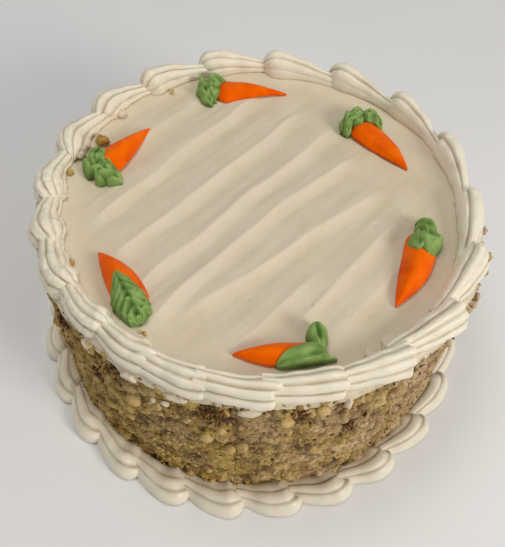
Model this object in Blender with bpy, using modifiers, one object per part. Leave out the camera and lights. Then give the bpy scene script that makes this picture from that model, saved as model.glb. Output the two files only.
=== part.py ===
"""A round carrot cake: nut-coated body, iced top, piped shell borders and six icing carrots.

Run with:  blender --background --python part.py
Units are metres, +Z is up, and the origin is the centre of the cake's base.
Angles round the cake are counted anticlockwise from +X, seen from above.
"""

import math
import random
from typing import NamedTuple

import bmesh
import bpy

# ---- driving dimensions ------------------------------------------------------------------

WALL_RADIUS = 0.1030          # outside of the nut coat, halfway up
WALL_TOP = 0.0898             # where the nut coat ends under the icing
ICING_TOP = 0.0965            # mean height of the iced top
ICING_RADIUS = 0.1034         # rim of the iced top, level with the nut coat
GAP = 0.0003                  # between pieces that touch

COAT_RELIEF = 0.0024          # depth of the lumps in the nut coat, valley to crest
COAT_LUMP_SIZE = 0.012        # width of those lumps
COAT_STEPS = 72               # flats round the wall
COAT_RINGS = 8                # rings of lumps up the wall
EDGE_ROUND = 0.0015           # rounding at the foot and the top of the wall

STROKE_DIRECTION = 51.0       # degrees: the way the palette knife was drawn across the top
STROKE_PITCH = 0.0185         # from one knife ridge to the next
STROKE_RELIEF = 0.0016        # height of a knife ridge over its furrow
STROKE_STEEP = 0.16           # share of the pitch taken by a ridge's steep side
STROKE_REACH = 0.0840         # the ridges are gone beyond this radius, where the border sits
STROKE_FADE = 0.0080          # and fade out over this much inside it
STROKE_POINTS = 6             # points along each ridge, within that radius

CARROT_RADIUS = 0.0070        # half the width of a carrot at its shoulder
CARROT_HEIGHT = 0.0080        # height of a carrot at its shoulder
CARROT_SHOULDER = 0.16        # share of its length from the back to the widest point
CARROT_LIMIT = 0.0870         # a carrot is pressed flat where it meets the border here
GREENS_HEIGHT = 0.0070        # height of the piped greens

SEED = 8


class Border(NamedTuple):
    """One piped border: a ring of shells, each with its head over the next one's tail."""

    name: str
    count: int
    start: float              # angle of the first head, degrees
    stretch: float            # how much longer the shells at the back are than the mean
    stretch_at: float         # the angle where they are longest, degrees
    ring_radius: float
    floor: float              # height of the surface it is piped on
    half_width: float
    height: float
    ridges: int               # ridges that the star tip leaves across the top
    groove: float             # depth of a groove, as a share of the shell's size
    head: float               # share of the length that is the rounded head
    tail: float               # size of the tail, as a share of the head
    inner_limit: float        # radius that the icing can't reach inside of
    lean: float               # how far the whole ring sits off the middle of the cake
    lean_at: float            # the side that it sits towards, degrees


TOP_BORDER = Border("top_shell", 20, 87.6, 0.21, 59.0, 0.0970, ICING_TOP + GAP,
                    0.0072, 0.0104, 5, 0.17, 0.26, 0.62, 0.0, 0.0006, 310.0)
BASE_BORDER = Border("base_shell", 25, 330.4, 0.05, 60.0, 0.1088, 0.0,
                     0.0086, 0.0100, 3, 0.10, 0.34, 0.58, WALL_RADIUS + 2.0 * GAP,
                     0.0020, 272.0)


class Carrot(NamedTuple):
    """One icing carrot: where its tip lies, which way it points, and its greens."""

    angle: float              # of the tip round the cake, degrees
    radius: float             # of the tip
    heading: float            # degrees, from the greens towards the tip
    length: float
    greens_back: float        # from the tip back to the middle of the greens
    greens_side: float        # from the carrot's line to it, outwards
    half_length: float        # of the greens, along the carrot
    half_width: float         # of the greens, across it
    leafy: bool               # a pointed leaf over the carrot, or a ruffled tuft behind it


CARROTS = (
    Carrot(83.7, 0.0758, 7.0, 0.038, 0.0390, 0.0010, 0.0078, 0.0120, False),
    Carrot(21.2, 0.0748, 312.0, 0.037, 0.0370, 0.0040, 0.0095, 0.0112, False),
    Carrot(317.8, 0.0806, 250.0, 0.042, 0.0430, 0.0020, 0.0088, 0.0082, False),
    Carrot(265.7, 0.0838, 183.0, 0.038, 0.0295, -0.0045, 0.0120, 0.0088, True),
    Carrot(210.2, 0.0787, 127.0, 0.036, 0.0260, -0.0005, 0.0124, 0.0080, True),
    Carrot(145.8, 0.0716, 59.0, 0.037, 0.0355, -0.0015, 0.0096, 0.0108, False),
)


# ---- scene and materials -----------------------------------------------------------------

def clear_scene():
    """Remove every object that the file holds."""
    for obj in list(bpy.data.objects):
        bpy.data.objects.remove(obj, do_unlink=True)


def new_collection(name):
    """Return a new collection linked to the scene."""
    collection = bpy.data.collections.new(name)
    bpy.context.scene.collection.children.link(collection)
    return collection


def new_material(name, colour, roughness):
    """Return a Principled material with one colour (linear RGB) and roughness."""
    material = bpy.data.materials.new(name)
    material.use_nodes = True
    shader = material.node_tree.nodes["Principled BSDF"]
    shader.inputs["Base Color"].default_value = (*colour, 1.0)
    shader.inputs["Roughness"].default_value = roughness
    shader.inputs["Metallic"].default_value = 0.0
    return material


# ---- meshes ------------------------------------------------------------------------------

def add_object(name, mesh, collection, colour, roughness):
    """Link a mesh as a named object with a material of its own."""
    mesh.materials.append(new_material(name, colour, roughness))
    obj = bpy.data.objects.new(name, mesh)
    collection.objects.link(obj)
    return obj


def loft(name, rings, start=None, end=None):
    """Return a closed mesh through rings of points.

    Each ring is one closed loop with the same number of points. The start and end
    points close the ends as fans; without one, that end is closed by a flat face.
    """
    work = bmesh.new()
    loops = [[work.verts.new(point) for point in ring] for ring in rings]
    count = len(loops[0])
    for near, far in zip(loops, loops[1:]):
        for i in range(count):
            j = (i + 1) % count
            work.faces.new((near[i], near[j], far[j], far[i]))
    for ring, tip in ((loops[0], start), (loops[-1], end)):
        if tip is None:
            work.faces.new(ring)
            continue
        centre = work.verts.new(tip)
        for i in range(count):
            work.faces.new((ring[i], ring[(i + 1) % count], centre))
    bmesh.ops.recalc_face_normals(work, faces=work.faces)
    mesh = bpy.data.meshes.new(name)
    work.to_mesh(mesh)
    work.free()
    return mesh


def soften(mesh, crease_degrees):
    """Shade a mesh smooth, and keep its creases sharper than this angle."""
    mesh.shade_smooth()
    mesh.set_sharp_from_angle(angle=math.radians(crease_degrees))


def polar(radius, angle, height):
    """Return the point at a radius and an angle (radians) round the cake."""
    return (radius * math.cos(angle), radius * math.sin(angle), height)


# ---- cake and icing ----------------------------------------------------------------------

def build_body(collection):
    """Turn the cake's profile, then raise the lumps of its nut coat."""
    radius = WALL_RADIUS
    low = EDGE_ROUND
    high = WALL_TOP - EDGE_ROUND
    wall = [(radius, high + (low - high) * i / COAT_RINGS) for i in range(COAT_RINGS + 1)]
    inset = radius - EDGE_ROUND
    profile = [(0.0, WALL_TOP), (inset, WALL_TOP), *wall, (inset, 0.0), (0.0, 0.0)]
    mesh = bpy.data.meshes.new("cake_body")
    edges = [(i, i + 1) for i in range(len(profile) - 1)]
    mesh.from_pydata([(x, 0.0, z) for x, z in profile], edges, [])
    body = add_object("cake_body", mesh, collection, (0.30, 0.20, 0.10), 0.9)

    lumpy = [i for i, (x, z) in enumerate(profile) if x == radius and BASE_BORDER.height < z < high]
    coat = body.vertex_groups.new(name="coat")
    coat.add(lumpy, 1.0, "REPLACE")

    turn = body.modifiers.new("turn", "SCREW")
    turn.axis = "Z"
    turn.steps = COAT_STEPS
    turn.render_steps = COAT_STEPS
    turn.use_merge_vertices = True
    turn.merge_threshold = 0.00005

    lumps = bpy.data.textures.new("nut_lumps", "CLOUDS")
    lumps.noise_scale = COAT_LUMP_SIZE
    raise_lumps = body.modifiers.new("lumps", "DISPLACE")
    raise_lumps.texture = lumps
    raise_lumps.texture_coords = "LOCAL"
    raise_lumps.strength = COAT_RELIEF
    raise_lumps.mid_level = 0.5
    raise_lumps.vertex_group = "coat"


def stroke_height(across, radius):
    """Return the height of the iced top across the knife strokes: a slanting sawtooth."""
    phase = (across / STROKE_PITCH) % 1.0
    if phase < STROKE_STEEP:
        rise = 1.0 - phase / STROKE_STEEP
    else:
        rise = (phase - STROKE_STEEP) / (1.0 - STROKE_STEEP)
    fade = min(1.0, max(0.0, (STROKE_REACH - radius) / STROKE_FADE))
    return ICING_TOP + STROKE_RELIEF * (rise - 0.5) * fade


def stroke_lines():
    """Return where the mesh has lines across the strokes: crests, furrows and the rim."""
    lines = set()
    strokes = int(ICING_RADIUS / STROKE_PITCH)
    for k in range(-strokes, strokes + 1):
        lines.update(STROKE_PITCH * (k + share) for share in (0.0, STROKE_STEEP, 0.58))
    lines = {x for x in lines if abs(x) < STROKE_REACH}
    rim = [ICING_RADIUS * math.sin(math.radians(a)) for a in (62.0, 70.0, 78.0, 86.0)]
    return sorted(lines | set(rim) | {-x for x in rim})


def stroke_points(across):
    """Return the points along one line: two on the rim, the rest within the ridges' reach."""
    half = math.sqrt(ICING_RADIUS**2 - across**2)
    inner = math.sqrt(max(STROKE_REACH**2 - across**2, (0.7 * half) ** 2))
    last = STROKE_POINTS - 1
    return [-half, *(inner * (2.0 * i / last - 1.0) for i in range(STROKE_POINTS)), half]


def build_icing(collection):
    """Lay the iced top as strips between lines that run along the knife strokes."""
    along = math.radians(STROKE_DIRECTION)
    work = bmesh.new()
    grid = []
    for across in stroke_lines():
        row = []
        for forward in stroke_points(across):
            x = forward * math.cos(along) + across * math.sin(along)
            y = forward * math.sin(along) - across * math.cos(along)
            height = stroke_height(across, math.hypot(x, y))
            row.append(work.verts.new((x, y, height)))
        grid.append(row)
    for near, far in zip(grid, grid[1:]):
        for i in range(len(near) - 1):
            work.faces.new((near[i], near[i + 1], far[i + 1], far[i]))

    rim = grid[0] + [row[-1] for row in grid[1:-1]] + grid[-1][::-1]
    rim += [row[0] for row in grid[-2:0:-1]]
    under = [work.verts.new((v.co.x, v.co.y, WALL_TOP + GAP)) for v in rim]
    for i, vertex in enumerate(rim):
        j = (i + 1) % len(rim)
        work.faces.new((vertex, rim[j], under[j], under[i]))
    work.faces.new(under)
    bmesh.ops.recalc_face_normals(work, faces=work.faces)
    mesh = bpy.data.meshes.new("top_icing")
    work.to_mesh(mesh)
    work.free()
    soften(mesh, 50.0)
    add_object("top_icing", mesh, collection, (0.80, 0.69, 0.50), 0.5)


# ---- piped borders -----------------------------------------------------------------------

def head_angle(border, k):
    """Return the angle (radians) of the foremost point of a shell's head.

    The shells follow each other clockwise, evenly but for one slow swell in their
    length round the cake.
    """
    even = math.radians(border.start) - 2.0 * math.pi * k / border.count
    return even + border.stretch * math.sin(even - math.radians(border.stretch_at))


def fatness(border, along):
    """Return a shell's size from its head (0) to its tail (1): a dome, then a taper."""
    if along < border.head:
        return math.sqrt(1.0 - (1.0 - along / border.head) ** 2)
    fall = (along - border.head) / (1.0 - border.head)
    return 1.0 - (1.0 - border.tail) * fall**1.4


def star_section(border):
    """Return (side, up) shares of a shell's section: ridges and grooves over a flat foot."""
    points = []
    for i in range(2 * border.ridges + 1):
        turn = math.pi * i / (2 * border.ridges)
        size = 1.0 if i % 2 else 1.0 - border.groove
        points.append((size * math.cos(turn), size * math.sin(turn)))
    return points


def shell_rings(border, first, last, width, height, shift):
    """Return the rings of one shell between two angles, with its tail end dished.

    Every ring is the star section scaled by the fatness there. The last ring is set
    back to follow the next head's dome, so that the two shells meet face to face.
    """
    rings = []
    section = star_section(border)
    shares = (0.03, 0.12, 0.26, 0.50, 0.76, 1.0)
    for share in shares:
        size = fatness(border, share)
        ring = []
        for side, up in section:
            angle = first + (last - first) * share
            if share == 1.0:
                spread = min(1.0, size * math.hypot(side, up))
                dish = border.head * (1.0 - math.sqrt(1.0 - spread**2))
                angle -= dish * (first - last) * 0.8
            radius = border.ring_radius + shift + side * size * width
            radius = max(radius, border.inner_limit)
            ring.append(polar(radius, angle, border.floor + up * size * height))
        rings.append(ring)
    return rings


def build_border(border, collection, dice):
    """Pipe one border, shell by shell, each a little different from the last."""
    for k in range(border.count):
        first = head_angle(border, k)
        crease = 2.0 * GAP / border.ring_radius
        last = head_angle(border, k + 1) + crease
        width = border.half_width * dice.uniform(0.95, 1.05)
        height = border.height * dice.uniform(0.92, 1.04)
        shift = dice.uniform(-0.0008, 0.0008)
        shift += border.lean * math.cos(first - math.radians(border.lean_at))
        foot = max(border.ring_radius + shift, border.inner_limit)
        name = f"{border.name}_{k + 1:02d}"
        mesh = loft(
            name,
            shell_rings(border, first, last, width, height, shift),
            start=polar(foot, first, border.floor),
            end=polar(foot, last, border.floor),
        )
        soften(mesh, 60.0)
        add_object(name, mesh, collection, (0.84, 0.74, 0.55), 0.45)


# ---- carrots -----------------------------------------------------------------------------

def carrot_bed():
    """Return the height that the carrots lie at: the crests of the knife strokes."""
    return ICING_TOP + STROKE_RELIEF / 2 + GAP


def beside(carrot, back, side):
    """Return the (x, y) that lies back from a carrot's tip, and out from its line."""
    place = math.radians(carrot.angle)
    heading = math.radians(carrot.heading)
    x = carrot.radius * math.cos(place) - back * math.cos(heading) - side * math.sin(heading)
    y = carrot.radius * math.sin(place) - back * math.sin(heading) + side * math.cos(heading)
    return x, y


def on_cake(carrot, back, side, height):
    """Return the same place as a point, pressed flat where it would meet the border."""
    x, y = beside(carrot, back, side)
    press = min(1.0, CARROT_LIMIT / math.hypot(x, y))
    return (x * press, y * press, height)


def build_root(name, carrot, collection):
    """Loft a carrot's root: a rounded shoulder that tapers to a point, flat underneath."""
    bed = carrot_bed()
    rings = []
    for share in (0.012, 0.06, CARROT_SHOULDER, 0.38, 0.62, 0.86):
        behind = max(0.0, 1.0 - share / CARROT_SHOULDER)
        ahead = max(0.0, share - CARROT_SHOULDER) / (1.02 - CARROT_SHOULDER)
        size = math.sqrt(1.0 - behind**2) * (1.0 - ahead)
        ring = []
        for i in range(8):
            turn = math.pi * i / 7
            side = CARROT_RADIUS * size * math.cos(turn)
            up = CARROT_HEIGHT * size * math.sin(turn)
            ring.append(on_cake(carrot, carrot.length * (1.0 - share), side, bed + up))
        rings.append(ring)
    back = on_cake(carrot, carrot.length, 0.0, bed)
    tip = on_cake(carrot, 0.0, 0.0, bed)
    mesh = loft(name, rings, start=back, end=tip)
    soften(mesh, 40.0)
    return add_object(name, mesh, collection, (0.76, 0.13, 0.006), 0.4)


def greens_outline(carrot, turn, grow=0.0):
    """Return (back, side) of the edge of a carrot's greens, from the carrot's tip.

    The turn starts at the side towards the tip. A leaf is an ellipse drawn to a point
    there; a tuft is an ellipse with a ruffled edge.
    """
    length = (carrot.half_length + grow) * math.cos(turn)
    width = (carrot.half_width + grow) * math.sin(turn)
    if carrot.leafy:
        width *= abs(math.sin(turn / 2.0)) ** 0.7
    else:
        ruffle = 1.0 + 0.10 * math.cos(7.0 * turn + carrot.angle)
        length *= ruffle
        width *= ruffle
    return carrot.greens_back - length, carrot.greens_side + width


def build_greens(name, carrot, collection):
    """Mound the piped greens: a ruffled edge, a raised body and a sunken middle."""
    bed = carrot_bed()
    steps = 20
    rings = []
    for share, rise in ((1.0, 0.0), (0.98, 0.5), (0.62, 1.0)):
        ring = []
        for i in range(steps):
            back, side = greens_outline(carrot, 2.0 * math.pi * i / steps)
            back = carrot.greens_back + (back - carrot.greens_back) * share
            side = carrot.greens_side + (side - carrot.greens_side) * share
            ring.append(on_cake(carrot, back, side, bed + rise * GREENS_HEIGHT))
        rings.append(ring)
    hollow = bed + 0.82 * GREENS_HEIGHT
    centre = on_cake(carrot, carrot.greens_back, carrot.greens_side, hollow)
    mesh = loft(name, rings, end=centre)
    soften(mesh, 50.0)
    add_object(name, mesh, collection, (0.13, 0.20, 0.07), 0.6)


def cut_under_greens(root, carrot, cutters):
    """Take away the part of a root that lies under its greens and behind them.

    The cutter is the front of the greens' outline, a gap larger, with a block behind it
    that is wider than the root.
    """
    front = [math.radians(a) for a in range(-100, 101, 20)]
    outline = [greens_outline(carrot, turn, 2.0 * GAP) for turn in front]
    near = outline[0][0]
    beyond = 2.0 * carrot.length
    wide = 1.2 * CARROT_RADIUS
    outline += [(near, wide), (beyond, wide), (beyond, -wide), (near, -wide)]
    low = carrot_bed() - CARROT_HEIGHT
    high = carrot_bed() + 2.0 * CARROT_HEIGHT
    rings = [[(*beside(carrot, *point), height) for point in outline] for height in (low, high)]
    cutter = bpy.data.objects.new(root.name + "_cover", loft(root.name + "_cover", rings))
    cutter.hide_render = True
    cutter.display_type = "WIRE"
    cutters.objects.link(cutter)
    cut = root.modifiers.new("greens", "BOOLEAN")
    cut.operation = "DIFFERENCE"
    cut.object = cutter


def build_carrots(collection, cutters):
    """Set the carrots round the top, each with its greens."""
    for k, carrot in enumerate(CARROTS, start=1):
        root = build_root(f"carrot_{k}", carrot, collection)
        build_greens(f"carrot_greens_{k}", carrot, collection)
        cut_under_greens(root, carrot, cutters)


def main():
    """Build the whole cake."""
    clear_scene()
    cake = new_collection("carrot_cake")
    cutters = new_collection("cutters")
    cutters.hide_render = True
    dice = random.Random(SEED)
    build_body(cake)
    build_icing(cake)
    build_border(TOP_BORDER, cake, dice)
    build_border(BASE_BORDER, cake, dice)
    build_carrots(cake, cutters)


main()
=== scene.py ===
"""The finished look of a round carrot cake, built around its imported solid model.

The model gives the places: each class below reads the solids that its pieces stand for
and builds the fine surface there. Lengths are metres, +Z is up, the origin is the centre
of the cake's base, and angles run anticlockwise from +X, seen from above. The shells of
both borders follow each other clockwise, each with its head over the next one's tail.
"""

import itertools
import logging
import math
from dataclasses import astuple, dataclass, field
from enum import Enum, IntEnum

import bpy
import numpy as np
from mathutils import Matrix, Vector
from numpy.typing import NDArray


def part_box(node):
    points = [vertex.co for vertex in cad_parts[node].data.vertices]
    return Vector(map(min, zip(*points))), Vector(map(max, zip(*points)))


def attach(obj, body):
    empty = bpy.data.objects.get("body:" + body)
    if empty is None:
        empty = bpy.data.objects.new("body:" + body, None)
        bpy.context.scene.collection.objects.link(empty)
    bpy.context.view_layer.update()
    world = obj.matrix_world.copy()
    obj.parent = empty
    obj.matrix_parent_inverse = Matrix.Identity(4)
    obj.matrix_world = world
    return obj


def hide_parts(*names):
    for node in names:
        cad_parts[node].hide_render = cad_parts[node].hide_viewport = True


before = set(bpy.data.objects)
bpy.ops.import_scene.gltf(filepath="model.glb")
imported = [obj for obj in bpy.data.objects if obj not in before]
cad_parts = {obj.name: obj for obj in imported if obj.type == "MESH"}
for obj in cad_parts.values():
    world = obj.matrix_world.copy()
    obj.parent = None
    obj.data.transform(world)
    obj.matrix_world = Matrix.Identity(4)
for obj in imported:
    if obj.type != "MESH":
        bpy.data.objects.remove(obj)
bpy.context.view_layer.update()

LOG = logging.getLogger("carrot_cake")

Array = NDArray[np.float64]
Whole = NDArray[np.int64]
Colour = tuple[float, float, float]
Stops = tuple[tuple[float, Colour], ...]

MM = 0.001
FULL_TURN = 2.0 * math.pi


class Seed(IntEnum):
    """Where each field of soft noise, and each run of chance numbers, starts."""

    COAT_LUMPS = 11
    TOP_BORDER = 21
    BASE_BORDER = 22
    COAT_TONE = 23
    COAT_CRUMBS = 31
    STROKE_WANDER = 51
    TOP_SWELLS = 52
    CHATTER = 53
    FINE_CHATTER = 57
    RAGGED_EDGE = 61
    PITS = 64
    RIM = 66
    ROOT = 700
    ROOT_SKIN = 710
    ROOT_TONE = 720
    FROND = 760
    DAB = 800


# ---- numbers and noise -------------------------------------------------------------------

def tint(red: int, green: int, blue: int) -> Colour:
    """Return a colour given as 0 to 255 on a screen as linear light from 0 to 1.

    Args:
        red: share of red, 0 to 255.
        green: share of green, 0 to 255.
        blue: share of blue, 0 to 255.

    Returns:
        The three shares after the screen curve is taken away.
    """
    shares = (part / 255.0 for part in (red, green, blue))
    return tuple(s / 12.92 if s <= 0.04045 else ((s + 0.055) / 1.055) ** 2.4 for s in shares)


def shades(*stops: tuple[float, int, int, int]) -> Stops:
    """Return the stops of a colour ramp, from places and screen colours of 0 to 255."""
    return tuple((at, tint(*screen)) for at, *screen in stops)


def hashed(seed: int, *cells: Array) -> Array:
    """Return a repeatable number from 0 to 1 for each cell of a whole-number lattice.

    Each cell number is multiplied by its own large prime, the products are joined by
    exclusive-or, and the result is stirred by two multiply-and-shift steps.

    Args:
        seed: picks one of many such fields.
        cells: one array of whole numbers for each axis.

    Returns:
        An array of the cells' shape.
    """
    primes = (73856093, 19349663, 83492791)
    mixed = np.full(np.broadcast(*cells).shape, seed * 40503 + 12345, dtype=np.uint64)
    for prime, cell in zip(primes, cells):
        mixed = mixed ^ (cell.astype(np.int64) * prime).astype(np.uint64)
    mixed &= np.uint64(0xFFFFFFFF)
    for factor in (2246822519, 3266489917):
        mixed = ((mixed ^ (mixed >> np.uint64(15))) * np.uint64(factor)) & np.uint64(0xFFFFFFFF)
    mixed = mixed ^ (mixed >> np.uint64(16))
    return mixed.astype(np.float64) / float(0xFFFFFFFF)


def soft_noise(points: Array, size: float, seed: int, layers: int = 1) -> Array:
    """Return smooth noise from -1 to 1 at points in space.

    Lattice numbers are blended by a smooth step along x, y and z. Each further layer has
    half the size and half the height of the one before.

    Args:
        points: array whose last axis is x, y, z.
        size: width of a lump in the first layer.
        seed: picks the field.
        layers: how many layers are added.

    Returns:
        An array with the points' shape less its last axis.
    """
    total = np.zeros(points.shape[:-1])
    weight_sum = 0.0
    for layer in range(layers):
        scaled = points / size * 2.0**layer
        low = np.floor(scaled)
        part = scaled - low
        blend = part * part * (3.0 - 2.0 * part)
        value = np.zeros(points.shape[:-1])
        for corner in itertools.product((0, 1), repeat=3):
            shares = [blend[..., a] if corner[a] else 1.0 - blend[..., a] for a in range(3)]
            cells = [low[..., a] + corner[a] for a in range(3)]
            value += shares[0] * shares[1] * shares[2] * hashed(seed + layer, *cells)
        total += (2.0 * value - 1.0) * 0.5**layer
        weight_sum += 0.5**layer
    return total / weight_sum


@dataclass(frozen=True)
class Waves:
    """Soft noise with its height, the width of its lumps, its seed and its layers."""

    height: float
    size: float
    seed: int
    layers: int = 1

    def at(self, points: Array) -> Array:
        """Return the noise at points, from minus to plus the height."""
        return self.height * soft_noise(points, self.size, self.seed, self.layers)


def smooth_step(value: Array, low: float, high: float) -> Array:
    """Return 0 below low, 1 above high, and a smooth S between them."""
    share = np.clip((value - low) / (high - low), 0.0, 1.0)
    return share * share * (3.0 - 2.0 * share)


def turn_between(angle: Array, middle: float) -> Array:
    """Return how far angles lie from a middle one, in radians from minus to plus half a turn."""
    return (angle - middle + math.pi) % FULL_TURN - math.pi


def polar(radius: Array, angle: Array, height: Array) -> Array:
    """Return points at a radius, angle and height as one array with x, y, z last."""
    parts = np.broadcast_arrays(radius * np.cos(angle), radius * np.sin(angle), height)
    return np.stack(parts, axis=-1)


def evenly(rows: Array, steps: int) -> Array:
    """Return what lies evenly between each row's last entry and its first.

    Args:
        rows: array with one row for each ring; its entries are numbers or points.
        steps: how many places between the two.

    Returns:
        An array with that many entries in each row.
    """
    share = np.linspace(1.0, 0.0, steps + 2)[1:-1].reshape(1, -1, *[1] * (rows.ndim - 2))
    return rows[:, -1:] * share + rows[:, :1] * (1.0 - share)


# ---- meshes ------------------------------------------------------------------------------

@dataclass
class Skin:
    """Points and faces gathered for one mesh, with the numbers that its finish reads."""

    points: list[Array] = field(default_factory=list)
    faces: list[Whole] = field(default_factory=list)
    tones: list[Array] = field(default_factory=list)
    count: int = 0

    def add(self, points: Array, faces: list[Whole], tone: Array | float = 0.5) -> None:
        """Add one shape.

        Args:
            points: array with x, y, z last.
            faces: arrays of corner numbers within these points, three or four in a row.
            tone: one number for each point, or one for all.
        """
        flat = points.reshape(-1, 3)
        self.points.append(flat)
        self.faces.extend(array + self.count for array in faces)
        self.tones.append(np.broadcast_to(np.asarray(tone, float).reshape(-1), (len(flat),)))
        self.count += len(flat)

    def add_tube(self, rings: Array, tone: Array | float, ends: tuple[float, float]) -> None:
        """Add a tube of rings, closed by a point in the middle of its first and last ring.

        Args:
            rings: array of rings, each a closed loop.
            tone: one number for each point of the rings, or one for all.
            ends: the tones of the two closing points.
        """
        count, around = rings.shape[:2]
        points = np.concatenate([rings.reshape(-1, 3), rings[[0, -1]].mean(axis=1)])
        first = np.arange(around)
        last = first + (count - 1) * around
        faces = [
            strip_quads(count, around, True),
            fan(first, count * around),
            fan(last[::-1], count * around + 1),
        ]
        if facing_in(points, faces[0]):
            faces = [array[:, ::-1] for array in faces]
        tones = np.broadcast_to(tone, (count, around)).reshape(-1)
        self.add(points, faces, np.concatenate([tones, ends]))

    def mesh(self, name: str, smooth: bool) -> bpy.types.Mesh:
        """Write the gathered points, faces and tones into a mesh.

        Args:
            name: the mesh's name.
            smooth: shade it smooth.

        Returns:
            The mesh, with its tones as the point attribute "tone".
        """
        corners = np.concatenate([array.reshape(-1) for array in self.faces])
        sizes = np.concatenate([np.full(len(array), array.shape[1]) for array in self.faces])
        starts = np.concatenate([[0], np.cumsum(sizes)[:-1]])
        mesh = bpy.data.meshes.new(name)
        mesh.vertices.add(self.count)
        mesh.vertices.foreach_set("co", np.concatenate(self.points).astype(np.float32).ravel())
        mesh.loops.add(len(corners))
        mesh.loops.foreach_set("vertex_index", corners.astype(np.int32))
        mesh.polygons.add(len(sizes))
        mesh.polygons.foreach_set("loop_start", starts.astype(np.int32))
        mesh.polygons.foreach_set("use_smooth", np.full(len(sizes), smooth))
        mesh.update(calc_edges=True)
        tone = mesh.attributes.new("tone", "FLOAT", "POINT")
        tone.data.foreach_set("value", np.concatenate(self.tones).astype(np.float32))
        return mesh


def strip_quads(rows: int, columns: int, closed: bool) -> Whole:
    """Return the four corners of each face of a grid of points.

    Args:
        rows: points along the first axis.
        columns: points along the second axis.
        closed: whether the last column joins the first.

    Returns:
        One row of corner numbers for each face, turning from rows towards columns.
    """
    across = columns if closed else columns - 1
    row, column = np.meshgrid(np.arange(rows - 1), np.arange(across), indexing="ij")
    beside = (column + 1) % columns
    here = row * columns
    there = here + columns
    quads = np.stack([here + column, there + column, there + beside, here + beside], axis=-1)
    return quads.reshape(-1, 4)


def fan(ring: Whole, centre: int) -> Whole:
    """Return the triangles that join a closed ring of point numbers to one centre point."""
    return np.stack([ring, np.roll(ring, -1), np.full(len(ring), centre)], axis=-1)


def facing_in(points: Array, quads: Whole) -> bool:
    """Return whether the faces of a closed skin face its inside: its volume is then negative."""
    one, two, three = (points[quads[:, corner]] - points.mean(axis=0) for corner in range(3))
    return float(np.einsum("ij,ij->i", np.cross(one, two), three).sum()) < 0.0


def settle(name: str, skin: Skin, finish: "Finish", nodes: tuple[str, ...] = (),
           smooth: bool = True) -> None:
    """Put a finished skin into the scene as a piece, on the cake's one body.

    Args:
        name: the piece's name.
        skin: its surface, with its place already in it.
        finish: what it is made of.
        nodes: the solids that it stands for.
        smooth: shade it smooth.
    """
    mesh = skin.mesh(name, smooth)
    mesh.materials.append(finish.material())
    piece = bpy.data.objects.new(name, mesh)
    bpy.context.scene.collection.objects.link(piece)
    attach(piece, "root")
    if nodes:
        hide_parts(*nodes)
    LOG.info("%s: %d faces", name, len(mesh.polygons))


def solid_points(node: str) -> Array:
    """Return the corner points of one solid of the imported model.

    Args:
        node: the solid's node.

    Returns:
        Points with x, y, z last, in metres.
    """
    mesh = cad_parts[node].data
    flat = np.empty(len(mesh.vertices) * 3, np.float32)
    mesh.vertices.foreach_get("co", flat)
    return flat.reshape(-1, 3).astype(float)


# ---- finishes ----------------------------------------------------------------------------

class Slot(str, Enum):
    """Names of material slots, and none for what isn't part of the cake."""

    NONE = ""
    NUTS = "nut_coat"
    ICING = "icing"
    PIPED = "piped_icing"
    ORANGE = "orange_icing"
    GREEN = "green_icing"


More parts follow.
